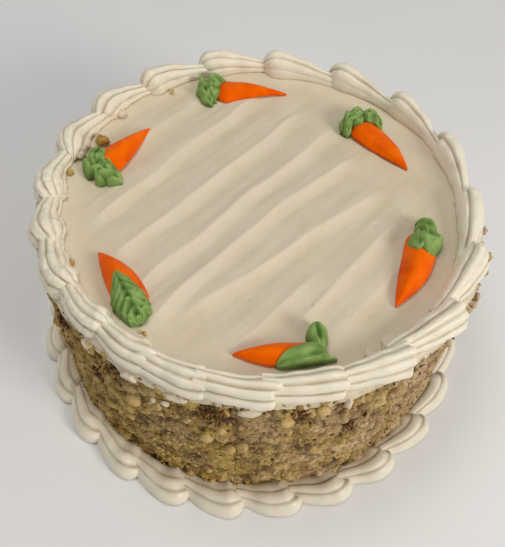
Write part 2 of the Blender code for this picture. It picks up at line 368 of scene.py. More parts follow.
class Workbench:
    """A material under construction: short calls that add and join its nodes."""

    def __init__(self, name: str) -> None:
        """Start a material with one Principled shader, reading Object coordinates.

        Args:
            name: the material's name.
        """
        self.material = bpy.data.materials.new(name)
        self.material.use_nodes = True
        self.tree = self.material.node_tree
        self.shader = self.tree.nodes["Principled BSDF"]
        self.place = self.tree.nodes.new("ShaderNodeTexCoord").outputs["Object"]

    def link(self, source: bpy.types.NodeSocket, target: bpy.types.NodeSocket) -> None:
        """Join an output to an input."""
        self.tree.links.new(source, target)

    def stretched(self, scale: tuple[float, float, float], turn: float) -> bpy.types.NodeSocket:
        """Return the coordinates turned round Z and then scaled.

        Args:
            scale: the factors along x, y and z.
            turn: the turn in degrees.

        Returns:
            The coordinates' output.
        """
        node = self.tree.nodes.new("ShaderNodeMapping")
        node.vector_type = "TEXTURE"
        node.inputs["Rotation"].default_value = (0.0, 0.0, math.radians(turn))
        node.inputs["Scale"].default_value = tuple(1.0 / part for part in scale)
        self.link(self.place, node.inputs["Vector"])
        return node.outputs["Vector"]

    def noise(self, size: float, detail: float = 2.0, rough: float = 0.5,
              where: bpy.types.NodeSocket | None = None) -> bpy.types.NodeSocket:
        """Return soft noise.

        Args:
            size: the width of a lump, in metres.
            detail: how many finer layers are added.
            rough: how strong the finer layers are.
            where: the coordinates; the object's own if left out.

        Returns:
            A factor from 0 to 1.
        """
        node = self.tree.nodes.new("ShaderNodeTexNoise")
        node.inputs["Scale"].default_value = 1.0 / size
        node.inputs["Detail"].default_value = detail
        node.inputs["Roughness"].default_value = rough
        self.link(where or self.place, node.inputs["Vector"])
        return node.outputs["Fac"]

    def tone(self) -> bpy.types.NodeSocket:
        """Return the tone that the mesh carries at its points.

        Returns:
            A factor from 0 to 1.
        """
        node = self.tree.nodes.new("ShaderNodeAttribute")
        node.attribute_name = "tone"
        return node.outputs["Fac"]

    def ramp(self, factor: bpy.types.NodeSocket, stops: Stops) -> bpy.types.NodeSocket:
        """Return the colour that a factor picks between stops.

        Args:
            factor: where to look between the stops, from 0 to 1.
            stops: places and their colours, in order.

        Returns:
            The colour's output.
        """
        node = self.tree.nodes.new("ShaderNodeValToRGB")
        elements = node.color_ramp.elements
        while len(elements) < len(stops):
            elements.new(0.5)
        for element, (at, colour) in zip(elements, stops):
            element.position = at
            element.color = (*colour, 1.0)
        self.link(factor, node.inputs["Fac"])
        return node.outputs["Color"]

    def spread(self, factor: bpy.types.NodeSocket, low: float, high: float,
               to_low: float, to_high: float) -> bpy.types.NodeSocket:
        """Return a factor mapped in a straight line from one range to another, clamped.

        Args:
            factor: what is mapped.
            low: where its range starts.
            high: where its range ends.
            to_low: what the start becomes.
            to_high: what the end becomes.

        Returns:
            The mapped factor.
        """
        node = self.tree.nodes.new("ShaderNodeMapRange")
        for socket, value in zip(("From Min", "From Max", "To Min", "To Max"),
                                 (low, high, to_low, to_high)):
            node.inputs[socket].default_value = value
        self.link(factor, node.inputs["Value"])
        return node.outputs["Result"]

    def right(self) -> bpy.types.NodeSocket:
        """Return how far a place lies to the right.

        Returns:
            The distance in metres, less than 0 to the left.
        """
        node = self.tree.nodes.new("ShaderNodeSeparateXYZ")
        self.link(self.place, node.inputs["Vector"])
        return node.outputs["X"]

    def total(self, one: bpy.types.NodeSocket, other: bpy.types.NodeSocket) -> bpy.types.NodeSocket:
        """Return the sum of two factors.

        Args:
            one: the first factor.
            other: the second factor.

        Returns:
            Their sum, not clamped.
        """
        node = self.tree.nodes.new("ShaderNodeMath")
        node.operation = "ADD"
        self.link(one, node.inputs[0])
        self.link(other, node.inputs[1])
        return node.outputs["Value"]

    def blend(self, share: bpy.types.NodeSocket, base: bpy.types.NodeSocket,
              over: bpy.types.NodeSocket) -> bpy.types.NodeSocket:
        """Return a mixture of two colours.

        Args:
            share: how much of the second colour shows.
            base: the first colour.
            over: the second colour.

        Returns:
            The mixed colour.
        """
        node = self.tree.nodes.new("ShaderNodeMix")
        node.data_type = "RGBA"
        for name, source in (("Factor", share), ("A", base), ("B", over)):
            self.link(source, node.inputs[name])
        return node.outputs["Result"]

    def bump(self, height: bpy.types.NodeSocket, depth: float, strength: float = 1.0,
             under: bpy.types.NodeSocket | None = None) -> bpy.types.NodeSocket:
        """Return a bumped normal.

        Args:
            height: the height of the surface, from 0 to 1.
            depth: how far a height of 1 stands out, in metres.
            strength: how much of the bump shows.
            under: a bump that this one lies over, if any.

        Returns:
            The normal.
        """
        node = self.tree.nodes.new("ShaderNodeBump")
        node.inputs["Strength"].default_value = strength
        node.inputs["Distance"].default_value = depth
        self.link(height, node.inputs["Height"])
        if under is not None:
            self.link(under, node.inputs["Normal"])
        return node.outputs["Normal"]

    def constants(self, values: dict[str, float | tuple[float, ...]]) -> None:
        """Set constants on the shader's own sockets."""
        for name, value in values.items():
            self.shader.inputs[name].default_value = value

    def finished(self, colour: bpy.types.NodeSocket, roughness: bpy.types.NodeSocket,
                 normal: bpy.types.NodeSocket) -> bpy.types.Material:
        """Join the last outputs to the shader.

        Args:
            colour: the base colour.
            roughness: the roughness.
            normal: the bumped normal.

        Returns:
            The material, complete.
        """
        self.link(colour, self.shader.inputs["Base Color"])
        self.link(roughness, self.shader.inputs["Roughness"])
        self.link(normal, self.shader.inputs["Normal"])
        return self.material


@dataclass(frozen=True)
class Finish:
    """What a piece is made of. Each kind of finish builds its own material, once."""

    name: str
    slot: Slot

    def build(self) -> bpy.types.Material:
        """Build the material."""
        raise NotImplementedError

    def material(self) -> bpy.types.Material:
        """Return the material, built the first time that it is asked for."""
        return bpy.data.materials.get(self.name) or self.build()


@dataclass(frozen=True)
class CreamIcing(Finish):
    """Cream cheese icing: soft, faintly waxy, smoothed or piped.

    The tone is 0 in a groove and 1 on a crest: grooves and hollows are painted a little darker, as
    painted shade, and crests lighter.
    """

    pale: Colour
    painted_hollow_shade: Colour
    roughness: float
    streak_turn: float
    streak_depth: float

    def build(self) -> bpy.types.Material:
        """Build the material: mottled cream, darker where the tone paints shade, over fine grain
        and long faint streaks.

        Returns:
            The material.
        """
        bench = Workbench(self.name)
        mottle = bench.noise(14 * MM, 3.0)
        share = bench.total(bench.spread(mottle, 0.3, 0.7, -0.22, 0.22), bench.tone())
        # Painted shade: a low tone, in a groove or hollow, picks the darker colour, and a high one,
        # on a crest, the lighter.
        colour = bench.ramp(share, ((0.0, self.painted_hollow_shade), (0.85, self.pale)))
        rough = bench.spread(bench.noise(3 * MM, 3.0), 0.3, 0.7,
                             self.roughness - 0.07, self.roughness + 0.09)
        along = bench.stretched((1.0, 9.0, 1.0), self.streak_turn)
        streaks = bench.bump(bench.noise(7 * MM, 3.0, 0.55, along), self.streak_depth, 0.6)
        grain = bench.bump(bench.noise(0.9 * MM, 3.0, 0.6), 0.05 * MM, 0.45, streaks)
        bench.constants({"Subsurface Weight": 0.20, "Subsurface Radius": (1.0, 0.75, 0.50),
                         "Subsurface Scale": 1.2 * MM, "Specular IOR Level": 0.42})
        return bench.finished(colour, rough, grain)


@dataclass(frozen=True)
class NutFinish(Finish):
    """Crushed walnut. The tone runs from dark skin at 0 to pale kernel at 1."""

    stops: Stops
    grey_patches_and_lit_side: Stops
    speckle: float
    roughness: float

    def build(self) -> bpy.types.Material:
        """Build the material: speckled colours over an oily grain, greyer and lighter to the right:
        random grey patches, and painted light on the side of the window lamp.

        Returns:
            The material.
        """
        bench = Workbench(self.name)
        fleck = bench.spread(bench.noise(1.1 * MM, 4.0, 0.65), 0.25, 0.75,
                             -self.speckle, self.speckle)
        share = bench.total(bench.tone(), fleck)
        # Random grey patches, plus painted light: the coat turns greyer and lighter towards +X, the
        # side of the window lamp.
        patch = bench.total(bench.spread(bench.noise(20 * MM, 3.0), 0.42, 0.60, -0.30, 0.25),
                            bench.spread(bench.right(), -0.08, 0.08, -0.05, 0.80))
        colour = bench.blend(patch, bench.ramp(share, self.stops), bench.ramp(share, self.grey_patches_and_lit_side))
        rough = bench.spread(bench.noise(2.2 * MM, 2.0), 0.3, 0.7,
                             self.roughness - 0.12, self.roughness + 0.12)
        pits = bench.bump(bench.noise(0.8 * MM, 4.0, 0.7), 0.35 * MM, 0.9)
        bench.constants({"Specular IOR Level": 0.35})
        return bench.finished(colour, rough, pits)


@dataclass(frozen=True)
class DyedIcing(Finish):
    """Stiff dyed icing, in fine lines where the tip drew it. The tone is 0 in a fold: painted
    shade.
    """

    shade: Colour
    middle: Colour
    light: Colour
    roughness: float
    line_size: float
    gloss: float
    painted_glow: float

    def build(self) -> bpy.types.Material:
        """Build the material: patches of two strengths of dye over painted light and shade, a faint
        painted glow, and a fine drawn grain.

        Returns:
            The material.
        """
        bench = Workbench(self.name)
        patch = bench.spread(bench.noise(6 * MM, 3.0), 0.3, 0.7, -0.22, 0.22)
        # Painted light and shade: the tone picks the shade colour in folds and low places, and the
        # light colour on crests and tops.
        stops = ((0.0, self.shade), (0.5, self.middle), (1.0, self.light))
        colour = bench.ramp(bench.total(bench.tone(), patch), stops)
        rough = bench.spread(bench.noise(2 * MM, 2.0), 0.3, 0.7,
                             self.roughness - 0.08, self.roughness + 0.08)
        lines = bench.bump(bench.noise(self.line_size, 3.0, 0.6), 0.12 * MM, 0.5)
        # The emission makes the icing glow faintly in its own colour: a painted glow.
        bench.constants({"Subsurface Weight": 0.12, "Subsurface Radius": (1.0, 0.5, 0.3),
                         "Subsurface Scale": 0.8 * MM, "Specular IOR Level": self.gloss,
                         "Specular Tint": (*self.light, 1.0), "Emission Strength": self.painted_glow})
        bench.link(colour, bench.shader.inputs["Emission Color"])
        return bench.finished(colour, rough, lines)


@dataclass(frozen=True)
class TablePaper(Finish):
    """The plain pale floor."""

    colour: Colour

    def build(self) -> bpy.types.Material:
        """Build the material: one pale colour, barely mottled.

        Returns:
            The material.
        """
        bench = Workbench(self.name)
        darker = tuple(0.97 * part for part in self.colour)
        colour = bench.ramp(bench.noise(0.15, 2.0), ((0.3, darker), (0.7, self.colour)))
        rough = bench.spread(bench.noise(0.05, 2.0), 0.3, 0.7, 0.72, 0.80)
        return bench.finished(colour, rough, bench.bump(bench.noise(1 * MM), 0.02 * MM, 0.2))


# Each cream has a lighter colour for crests and a darker one, painted shade, for grooves and
# hollows.
SMOOTHED = CreamIcing("smoothed_cream", Slot.ICING, tint(223, 209, 183), tint(211, 196, 163),
                      0.50, -51.0, 0.35 * MM)
PIPED = CreamIcing("piped_cream", Slot.PIPED, tint(239, 229, 206), tint(172, 154, 118),
                   0.42, 0.0, 0.12 * MM)
COAT_STOPS = shades((0.0, 48, 29, 11), (0.22, 94, 63, 24), (0.45, 144, 116, 47),
                    (0.75, 176, 144, 72), (1.0, 200, 171, 100))
# Greyer, lighter stops: for random grey patches, and as painted light on the side of the window
# lamp.
GREY_STOPS = shades((0.0, 58, 40, 28), (0.22, 104, 79, 56), (0.45, 147, 119, 83),
                    (0.75, 180, 150, 110), (1.0, 208, 180, 142))
GOLDEN_STOPS = shades((0.0, 78, 42, 10), (0.3, 146, 96, 26), (0.6, 186, 146, 66),
                      (1.0, 212, 182, 110))
SKIN_STOPS = shades((0.0, 62, 36, 14), (0.5, 106, 68, 28), (1.0, 152, 106, 50))
NUT_GROUND = NutFinish("nut_ground", Slot.NUTS, COAT_STOPS, GREY_STOPS, 0.40, 0.78)
NUT_MEAL = NutFinish("nut_meal", Slot.NUTS, COAT_STOPS, GREY_STOPS, 0.30, 0.72)
NUT_CHIP = NutFinish("nut_chip", Slot.NUTS, GOLDEN_STOPS, GREY_STOPS, 0.32, 0.62)
NUT_SKIN = NutFinish("nut_skin", Slot.NUTS, SKIN_STOPS, SKIN_STOPS, 0.15, 0.60)
# Dyed colours: painted shade, the dye's middle colour and painted light. The orange also has a
# faint painted glow.
ORANGE = DyedIcing("orange_dyed_cream", Slot.ORANGE, tint(216, 74, 0), tint(240, 98, 4),
                   tint(250, 118, 10), 0.48, 1.2 * MM, 0.30, 0.04)
GREEN = DyedIcing("green_dyed_cream", Slot.GREEN, tint(70, 98, 44), tint(126, 156, 84),
                  tint(152, 180, 108), 0.55, 1.0 * MM, 0.25, 0.0)
PAPER = TablePaper("table_paper", Slot.NONE, (0.86, 0.85, 0.83))


# ---- nut coat ----------------------------------------------------------------------------

@dataclass(frozen=True)
class Patch:
    """A round patch on the wall: where it is, how wide, and how much it counts."""

    angle: float
    height: float
    reach: float
    amount: float

    def share(self, angle: Array, height: Array, radius: float) -> Array:
        """Return the patch's amount at places on the wall: a bell round its middle.

        Args:
            angle: radians round the cake.
            height: metres above the base.
            radius: of the wall.

        Returns:
            The amount, which falls to a third at the patch's reach.
        """
        around = turn_between(angle, math.radians(self.angle)) * radius
        apart = (around**2 + (height - self.height) ** 2) / self.reach**2
        return self.amount * np.exp(-apart)


@dataclass
class NutWall:
    """The cake's wall under its coat of crushed walnut.

    The coat is soft lumps under two sizes of crumb. A crumb's margin and squared reach are
    shares of its lattice cell, and the least one's height is a share of the tallest's.
    """

    radius: float
    top: float
    columns: int = 760
    rows: int = 96
    edge: float = 1.5 * MM
    lumps: Waves = Waves(1.3 * MM, 12 * MM, Seed.COAT_LUMPS, 2)
    shading: Waves = Waves(0.20, 9 * MM, Seed.COAT_TONE, 2)
    crumb_sizes: tuple[float, ...] = (8.2 * MM, 4.3 * MM)
    crumb_heights: tuple[float, ...] = (2.2 * MM, 1.3 * MM)
    crumb_margin: float = 0.1
    crumb_reach: float = 0.62
    crumb_round: float = 0.6
    crumb_least: float = 0.35
    foot_fade: float = 6 * MM
    dark_patches: tuple[Patch, ...] = (
        Patch(-94.5, 0.084, 9 * MM, -0.34),
        Patch(-122.0, 0.085, 7 * MM, -0.30),
        Patch(-78.0, 0.052, 10 * MM, -0.16),
        Patch(-60.0, 0.060, 11 * MM, -0.15),
        Patch(-107.0, 0.040, 8 * MM, -0.12),
        Patch(-40.0, 0.070, 8 * MM, -0.18),
    )

    def crumbs(self, angle: Array, height: Array, size: float, seed: int) -> tuple[Array, Array]:
        """Return round bumps set on a jittered lattice that closes round the wall.

        Each lattice cell holds one centre at a random place in it. A point takes the
        nearest centre, and the bump is a dome: one less the squared distance over the
        size, times the crumb's own random height.

        Args:
            angle: radians round the cake.
            height: metres above the base.
            size: width of a cell.
            seed: picks the lattice.

        Returns:
            The bump from 0 to 1, and each crumb's own number from 0 to 1.
        """
        columns = round(FULL_TURN * self.radius / size)
        around = angle % FULL_TURN / FULL_TURN * columns
        up = height / size
        free = 1.0 - 2.0 * self.crumb_margin
        nearest = np.full(around.shape, math.inf)
        own = np.zeros(around.shape)
        for step in itertools.product((-1, 0, 1), repeat=2):
            column = np.floor(around) + step[0]
            row = np.floor(up) + step[1]
            wrapped = column % columns
            centre = column + self.crumb_margin + free * hashed(seed, wrapped, row)
            level = row + self.crumb_margin + free * hashed(seed + 1, wrapped, row)
            apart = (around - centre) ** 2 + (up - level) ** 2
            closer = apart < nearest
            own = np.where(closer, hashed(seed + 2, wrapped, row), own)
            nearest = np.where(closer, apart, nearest)
        dome = np.clip(1.0 - nearest / self.crumb_reach, 0.0, 1.0) ** self.crumb_round
        return dome * (self.crumb_least + (1.0 - self.crumb_least) * own), own

    def relief(self, angle: Array, height: Array) -> tuple[Array, Array]:
        """Return how far the coat stands out, and its tone, at places on the wall.

        Args:
            angle: radians round the cake.
            height: metres above the base.

        Returns:
            Metres out from the wall's radius, and tones from 0 to 1, with painted shade between the
            crumbs.
        """
        where = polar(self.radius, angle, height)
        out = self.lumps.at(where)
        tone = 0.50 + self.shading.at(where)
        for index, (size, rise) in enumerate(zip(self.crumb_sizes, self.crumb_heights)):
            dome, own = self.crumbs(angle, height, size, Seed.COAT_CRUMBS + 7 * index)
            out = out + rise * (dome - 0.45)
            # Each crumb's own random tone, plus painted shade: a crumb's raised dome is lighter and
            # the hollows between crumbs darker.
            tone = tone + 0.26 * (own - 0.5) + 0.36 * (dome - 0.42)
        for patch in self.dark_patches:
            tone = tone + patch.share(angle, height, self.radius)
        return out, np.clip(tone, 0.0, 1.0)

    def build(self) -> None:
        """Build the wall as one closed skin: base, foot, wall, shoulder and lid."""
        angle = np.linspace(0.0, FULL_TURN, self.columns, endpoint=False)[None, :]
        height = np.linspace(self.edge, self.top - self.edge, self.rows)[:, None]
        angle, height = np.broadcast_arrays(angle, height)
        out, tone = self.relief(angle, height)
        fade = smooth_step(height, 0.0, self.foot_fade)
        wall = polar(self.radius + out * fade, angle, height)
        inset = self.radius - self.edge
        low = polar(inset, angle[:1], 0.0 * height[:1])
        high = polar(inset, angle[-1:], 0.0 * height[-1:] + self.top)
        rings = np.concatenate([low, wall, high])
        tones = np.concatenate([tone[:1], tone, tone[-1:]])
        skin = Skin()
        skin.add_tube(rings[:, ::-1], tones[:, ::-1], (0.5, 0.5))
        settle("nut_wall", skin, NUT_GROUND, ("cake_body",))


@dataclass(frozen=True)
class Crumb:
    """One kind of nut bit: its finish and shape, and its tone with how far that varies."""

    name: str
    finish: Finish
    flatness: float
    faces: int
    smooth: bool
    tone: float
    spread: float
    seed: int


@dataclass(frozen=True)
class Scatter:
    """One kind of bit pressed into the coat: how many, how wide, and how much is sunk."""

    kind: Crumb
    count: int
    smallest: float
    largest: float
    sunk: float


MEAL = Crumb("nut_meal", NUT_MEAL, 0.85, 32, True, 0.62, 0.24, 101)
CHIPS = Crumb("nut_chips", NUT_CHIP, 0.74, 32, True, 0.62, 0.26, 202)
KIBBLE = Crumb("nut_kibble", NUT_CHIP, 0.66, 80, False, 0.66, 0.24, 303)
SKINS = Crumb("nut_skins", NUT_SKIN, 0.42, 20, False, 0.45, 0.35, 404)
STRAYS = Crumb("nut_strays", NUT_CHIP, 0.78, 80, True, 0.76, 0.20, 505)
KNOTS = Crumb("nut_knots", NUT_SKIN, 0.70, 20, False, 0.45, 0.45, 606)


def ball(faces: int) -> tuple[Array, Whole]:
    """Return a round cage of 20, 32 or 80 triangles: unit points and corner numbers.

    It is an icosahedron, an octahedron split once or an icosahedron split once, with
    every point pushed out to the unit sphere.

    Args:
        faces: how many triangles.

    Returns:
        Points one unit from the middle, and triangles facing outwards.
    """
    if faces == 32:
        points = np.concatenate([np.eye(3), -np.eye(3)])
        signs = itertools.product((0, 3), repeat=3)
        triangles = np.array([(x, y + 1, z + 2) for x, y, z in signs])
    else:
        golden = (1.0 + 5.0**0.5) / 2.0
        cycle = [(0.0, a, b * golden) for a in (-1, 1) for b in (-1, 1)]
        points = np.array([np.roll(point, turn) for turn in range(3) for point in cycle])
        triples = np.array(list(itertools.combinations(range(12), 3)))
        edges = points[triples] - points[np.roll(triples, 1, axis=1)]
        triangles = triples[(np.abs((edges**2).sum(-1) - 4.0) < 1e-6).all(axis=1)]
    if faces != 20:
        halves = [(points[triangles[:, a]] + points[triangles[:, b]]) / 2.0
                  for a, b in ((0, 1), (1, 2), (2, 0))]
        every = np.concatenate([points, *halves])
        start = len(points) + np.arange(len(triangles))[:, None]
        middle = [start[:, 0] + index * len(triangles) for index in range(3)]
        one, two, three = triangles.T
        split = [(one, middle[0], middle[2]), (two, middle[1], middle[0]),
                 (three, middle[2], middle[1]), (middle[0], middle[1], middle[2])]
        triangles = np.concatenate([np.stack(corners, axis=-1) for corners in split])
        points, joined = np.unique(np.round(every, 6), axis=0, return_inverse=True)
        triangles = joined.reshape(-1)[triangles]
    points = points / np.linalg.norm(points, axis=1, keepdims=True)
    corners = points[triangles]
    facing = np.einsum("ij,ij->i", np.cross(corners[:, 1] - corners[:, 0],
                                            corners[:, 2] - corners[:, 0]), corners.sum(1))
    triangles[facing < 0] = triangles[facing < 0][:, ::-1]
    return points, triangles


def random_turns(dice: np.random.Generator, count: int) -> Array:
    """Return random rotation matrices, each from a random unit quaternion.

    Args:
        dice: the seeded random numbers.
        count: how many to make.

    Returns:
        Matrices of 3 by 3, one after another.
    """
    quarter = dice.normal(size=(count, 4))
    w, x, y, z = (quarter / np.linalg.norm(quarter, axis=1, keepdims=True)).T
    rows = [
        [1 - 2 * (y * y + z * z), 2 * (x * y - w * z), 2 * (x * z + w * y)],
        [2 * (x * y + w * z), 1 - 2 * (x * x + z * z), 2 * (y * z - w * x)],
        [2 * (x * z - w * y), 2 * (y * z + w * x), 1 - 2 * (x * x + y * y)],
    ]
    return np.moveaxis(np.array(rows), -1, 0)


PUSHED = (0.68, 1.12)
NARROWED = (0.62, 0.95)
FLATTENED = (0.75, 1.2)


def broken_bits(dice: np.random.Generator, kind: Crumb, sizes: Array, places: Array,
                tones: Array) -> Skin:
    """Return many angular nut bits as one skin.

    A bit is a round cage whose points are pushed in and out at random, squeezed along
    two axes, turned at random and moved to its place.

    Args:
        dice: the seeded random numbers.
        kind: the kind of bit.
        sizes: each bit's width.
        places: each bit's middle.
        tones: each bit's tone.

    Returns:
        The gathered skin.
    """
    cage, triangles = ball(kind.faces)
    count = len(sizes)
    push = dice.uniform(*PUSHED, (count, len(cage), 1))
    squeeze = np.stack([np.ones(count), dice.uniform(*NARROWED, count),
                        kind.flatness * dice.uniform(*FLATTENED, count)], axis=-1)
    bits = cage[None] * push * squeeze[:, None, :] * sizes[:, None, None] / 2.0
    bits = np.einsum("nij,npj->npi", random_turns(dice, count), bits) + places[:, None, :]
    faces = triangles[None] + (np.arange(count) * len(cage))[:, None, None]
    skin = Skin()
    skin.add(bits, [faces.reshape(-1, 3)], np.repeat(tones, len(cage)))
    return skin


@dataclass
class LooseNuts:
    """The loose bits that stand out from the wall, one piece for each kind.

    Smallness is the power that makes small bits more common than large ones.
    """

    wall: NutWall
    lowest: float
    highest: float
    scatters: tuple[Scatter, ...] = (
        Scatter(MEAL, 4200, 1.8 * MM, 4.4 * MM, 0.16),
        Scatter(CHIPS, 2300, 2.8 * MM, 6.0 * MM, 0.22),
        Scatter(KIBBLE, 380, 4.0 * MM, 7.6 * MM, 0.28),
        Scatter(SKINS, 900, 1.2 * MM, 3.4 * MM, 0.05),
    )
    tries: int = 3
    drift_size: float = 13 * MM
    drift: float = 0.9
    smallness: float = 2.2
    spill: float = 3.0 * MM
    spill_height: float = 10 * MM

    def scatter(self, sown: Scatter) -> Skin:
        """Press one kind of bit into the coat, in drifts, all round the wall.

        Several times too many places are drawn, and those in the thickest drifts are kept.
        Near the plate the bits spill outwards.

        Args:
            sown: the kind of bit and how it is sown.

        Returns:
            The bits as one skin.
        """
        kind = sown.kind
        dice = np.random.default_rng(kind.seed)
        tries = sown.count * self.tries
        angle = dice.uniform(0.0, FULL_TURN, tries)
        height = dice.uniform(self.lowest, self.highest, tries)
        drift = Waves(self.drift, self.drift_size, kind.seed, 2)
        thick = drift.at(polar(self.wall.radius, angle, height))
        kept = np.argsort(dice.uniform(0.0, 1.0, tries) - thick)[:sown.count]
        angle, height = angle[kept], height[kept]
        share = dice.uniform(0, 1, len(kept)) ** self.smallness
        size = sown.smallest + (sown.largest - sown.smallest) * share
        out, ground = self.wall.relief(angle, height)
        spill = self.spill * np.clip(1.0 - height / self.spill_height, 0.0, 1.0)
        places = polar(self.wall.radius + out + spill - size * sown.sunk, angle, height)
        # The bits take on half of the ground's tone, its painted shade included.
        tone = kind.tone + kind.spread * dice.uniform(-1.0, 1.0, len(kept)) + 0.5 * (ground - 0.5)
        return broken_bits(dice, kind, size, places, np.clip(tone, 0.0, 1.0))

    def build(self) -> None:
        """Build every kind as a piece of its own."""
        for sown in self.scatters:
            kind = sown.kind
            settle(kind.name, self.scatter(sown), kind.finish, smooth=kind.smooth)


@dataclass(frozen=True)
class Cluster:
    """A few bits close together: their middle, number, reach and size, all in millimetres.

    The cluster is as high as it is wide, times its tallness, and a third as deep.
    """

    angle: float
    radius: float
    height: float
    count: int
    reach: float
    size: float
    tall: float = 1.0

    def bits(self, dice: np.random.Generator) -> tuple[Array, Array]:
        """Return the bits' middles, each a little aside from the cluster's, and their sizes.

        Args:
            dice: the seeded random numbers.

        Returns:
            Points with x, y, z last, and widths in metres.
        """
        around, up, out = dice.uniform(-1.4, 1.4, (3, self.count)) * self.reach * MM
        angle = math.radians(self.angle) + around / (self.radius * MM)
        places = polar(self.radius * MM + 0.3 * out, angle, self.height * MM + self.tall * up)
        return places, self.size * MM * dice.uniform(0.7, 1.15, self.count)


@dataclass
class FallenNuts:
    """Clusters of one kind of bit, set where they fell."""

    kind: Crumb
    clusters: tuple[Cluster, ...]

    def build(self) -> None:
        """Build the clusters as one piece."""
        kind = self.kind
        dice = np.random.default_rng(kind.seed)
        found = [cluster.bits(dice) for cluster in self.clusters]
        places, sizes = (np.concatenate(parts) for parts in zip(*found))
        tones = kind.tone + kind.spread * dice.uniform(-1.0, 1.0, len(sizes))
        skin = broken_bits(dice, kind, sizes, places, np.clip(tones, 0.0, 1.0))
        settle(kind.name, skin, kind.finish, smooth=kind.smooth)


STRAY_CLUSTERS = (
    Cluster(160.3, 85.2, 98.6, 2, 1.0, 9.0, 0.2),
    Cluster(-150.6, 91.0, 97.8, 4, 1.4, 3.2, 0.3),
    Cluster(176.3, 91.0, 97.8, 3, 1.2, 2.8, 0.3),
    Cluster(126.9, 87.6, 97.2, 2, 1.0, 2.4, 0.3),
    Cluster(-119.4, 87.6, 97.0, 2, 1.0, 2.2, 0.3),
    Cluster(8.0, 104.4, 89.0, 6, 2.6, 4.6),
    Cluster(-2.0, 104.6, 87.0, 6, 2.4, 4.2),
    Cluster(-12.0, 105.2, 88.5, 9, 3.2, 5.0),
    Cluster(-24.0, 104.6, 87.0, 6, 2.6, 4.2),
    Cluster(48.0, 104.6, 89.5, 6, 2.6, 4.2),
    Cluster(97.0, 104.6, 89.0, 6, 2.6, 4.4),
    Cluster(168.0, 104.6, 88.0, 6, 2.6, 4.2),
    Cluster(-80.7, 104.8, 84.8, 1, 0.0, 9.0),
    Cluster(-67.7, 104.6, 82.5, 1, 0.0, 7.6),
    Cluster(-72.8, 104.6, 91.0, 1, 0.0, 6.6),
    Cluster(-53.9, 104.6, 84.2, 1, 0.0, 7.2),
    Cluster(-114.7, 103.6, 67.8, 2, 2.6, 7.4),
    Cluster(-91.1, 103.6, 54.5, 2, 3.0, 7.6),
    Cluster(-98.0, 103.6, 60.0, 1, 0.0, 7.0),
    Cluster(-70.0, 103.6, 42.0, 2, 3.0, 7.0),
    Cluster(-5.0, 103.2, 55.0, 2, 3.0, 7.4),
    Cluster(60.0, 103.2, 40.0, 2, 3.0, 7.4),
    Cluster(115.0, 103.2, 62.0, 2, 3.0, 7.4),
    Cluster(-150.0, 103.2, 50.0, 2, 3.0, 7.4),
)
KNOT_CLUSTERS = (
    Cluster(-96.5, 104.2, 83.5, 39, 3.8, 2.3),
    Cluster(-122.2, 104.2, 87.0, 28, 3.0, 2.3),
    Cluster(-126.9, 104.0, 69.3, 19, 2.8, 2.3),
    Cluster(-77.9, 104.2, 88.0, 17, 2.4, 2.3),
    Cluster(-64.7, 104.2, 65.1, 19, 2.4, 2.3),
    Cluster(-140.4, 104.0, 84.0, 22, 2.8, 2.3),
    Cluster(-20.0, 104.2, 60.0, 15, 2.0, 2.3),
    Cluster(64.0, 104.2, 72.0, 19, 2.2, 2.3),
    Cluster(140.0, 104.2, 50.0, 19, 2.2, 2.3),
)


@dataclass(frozen=True)
class Dab:
    """A smear of icing: its place, and its sizes round, up and out, in millimetres."""

    angle: float
    radius: float
    height: float
    around: float
    tall: float
    thick: float

    def rings(self, seed: int, steps: int = 16, around: int = 24) -> Array:
        """Return a lumpy ball squeezed to the dab's sizes, as rings from foot to head.

        Args:
            seed: picks the lumps.
            steps: rings.
            around: points in a ring.

        Returns:
            An array of rings.
        """
        rise = np.linspace(0.06, 0.94, steps)[:, None] * math.pi
        turn = np.linspace(0.0, FULL_TURN, around, endpoint=False)[None, :]
        unit = polar(np.sin(rise), turn, -np.cos(rise))
        lump = 1.0 + 0.45 * soft_noise(unit + 3.0 * seed, 0.9, Seed.DAB + seed, 2)
        away = unit * lump[..., None] * np.array([self.thick, self.around, self.tall]) / 2.0 * MM
        angle = math.radians(self.angle)
        out = np.array([math.cos(angle), math.sin(angle), 0.0])
        side = np.array([-math.sin(angle), math.cos(angle), 0.0])
        middle = out * self.radius * MM + np.array([0.0, 0.0, self.height * MM])
        return middle + away[..., :1] * out + away[..., 1:2] * side \
            + away[..., 2:] * np.array([0.0, 0.0, 1.0])


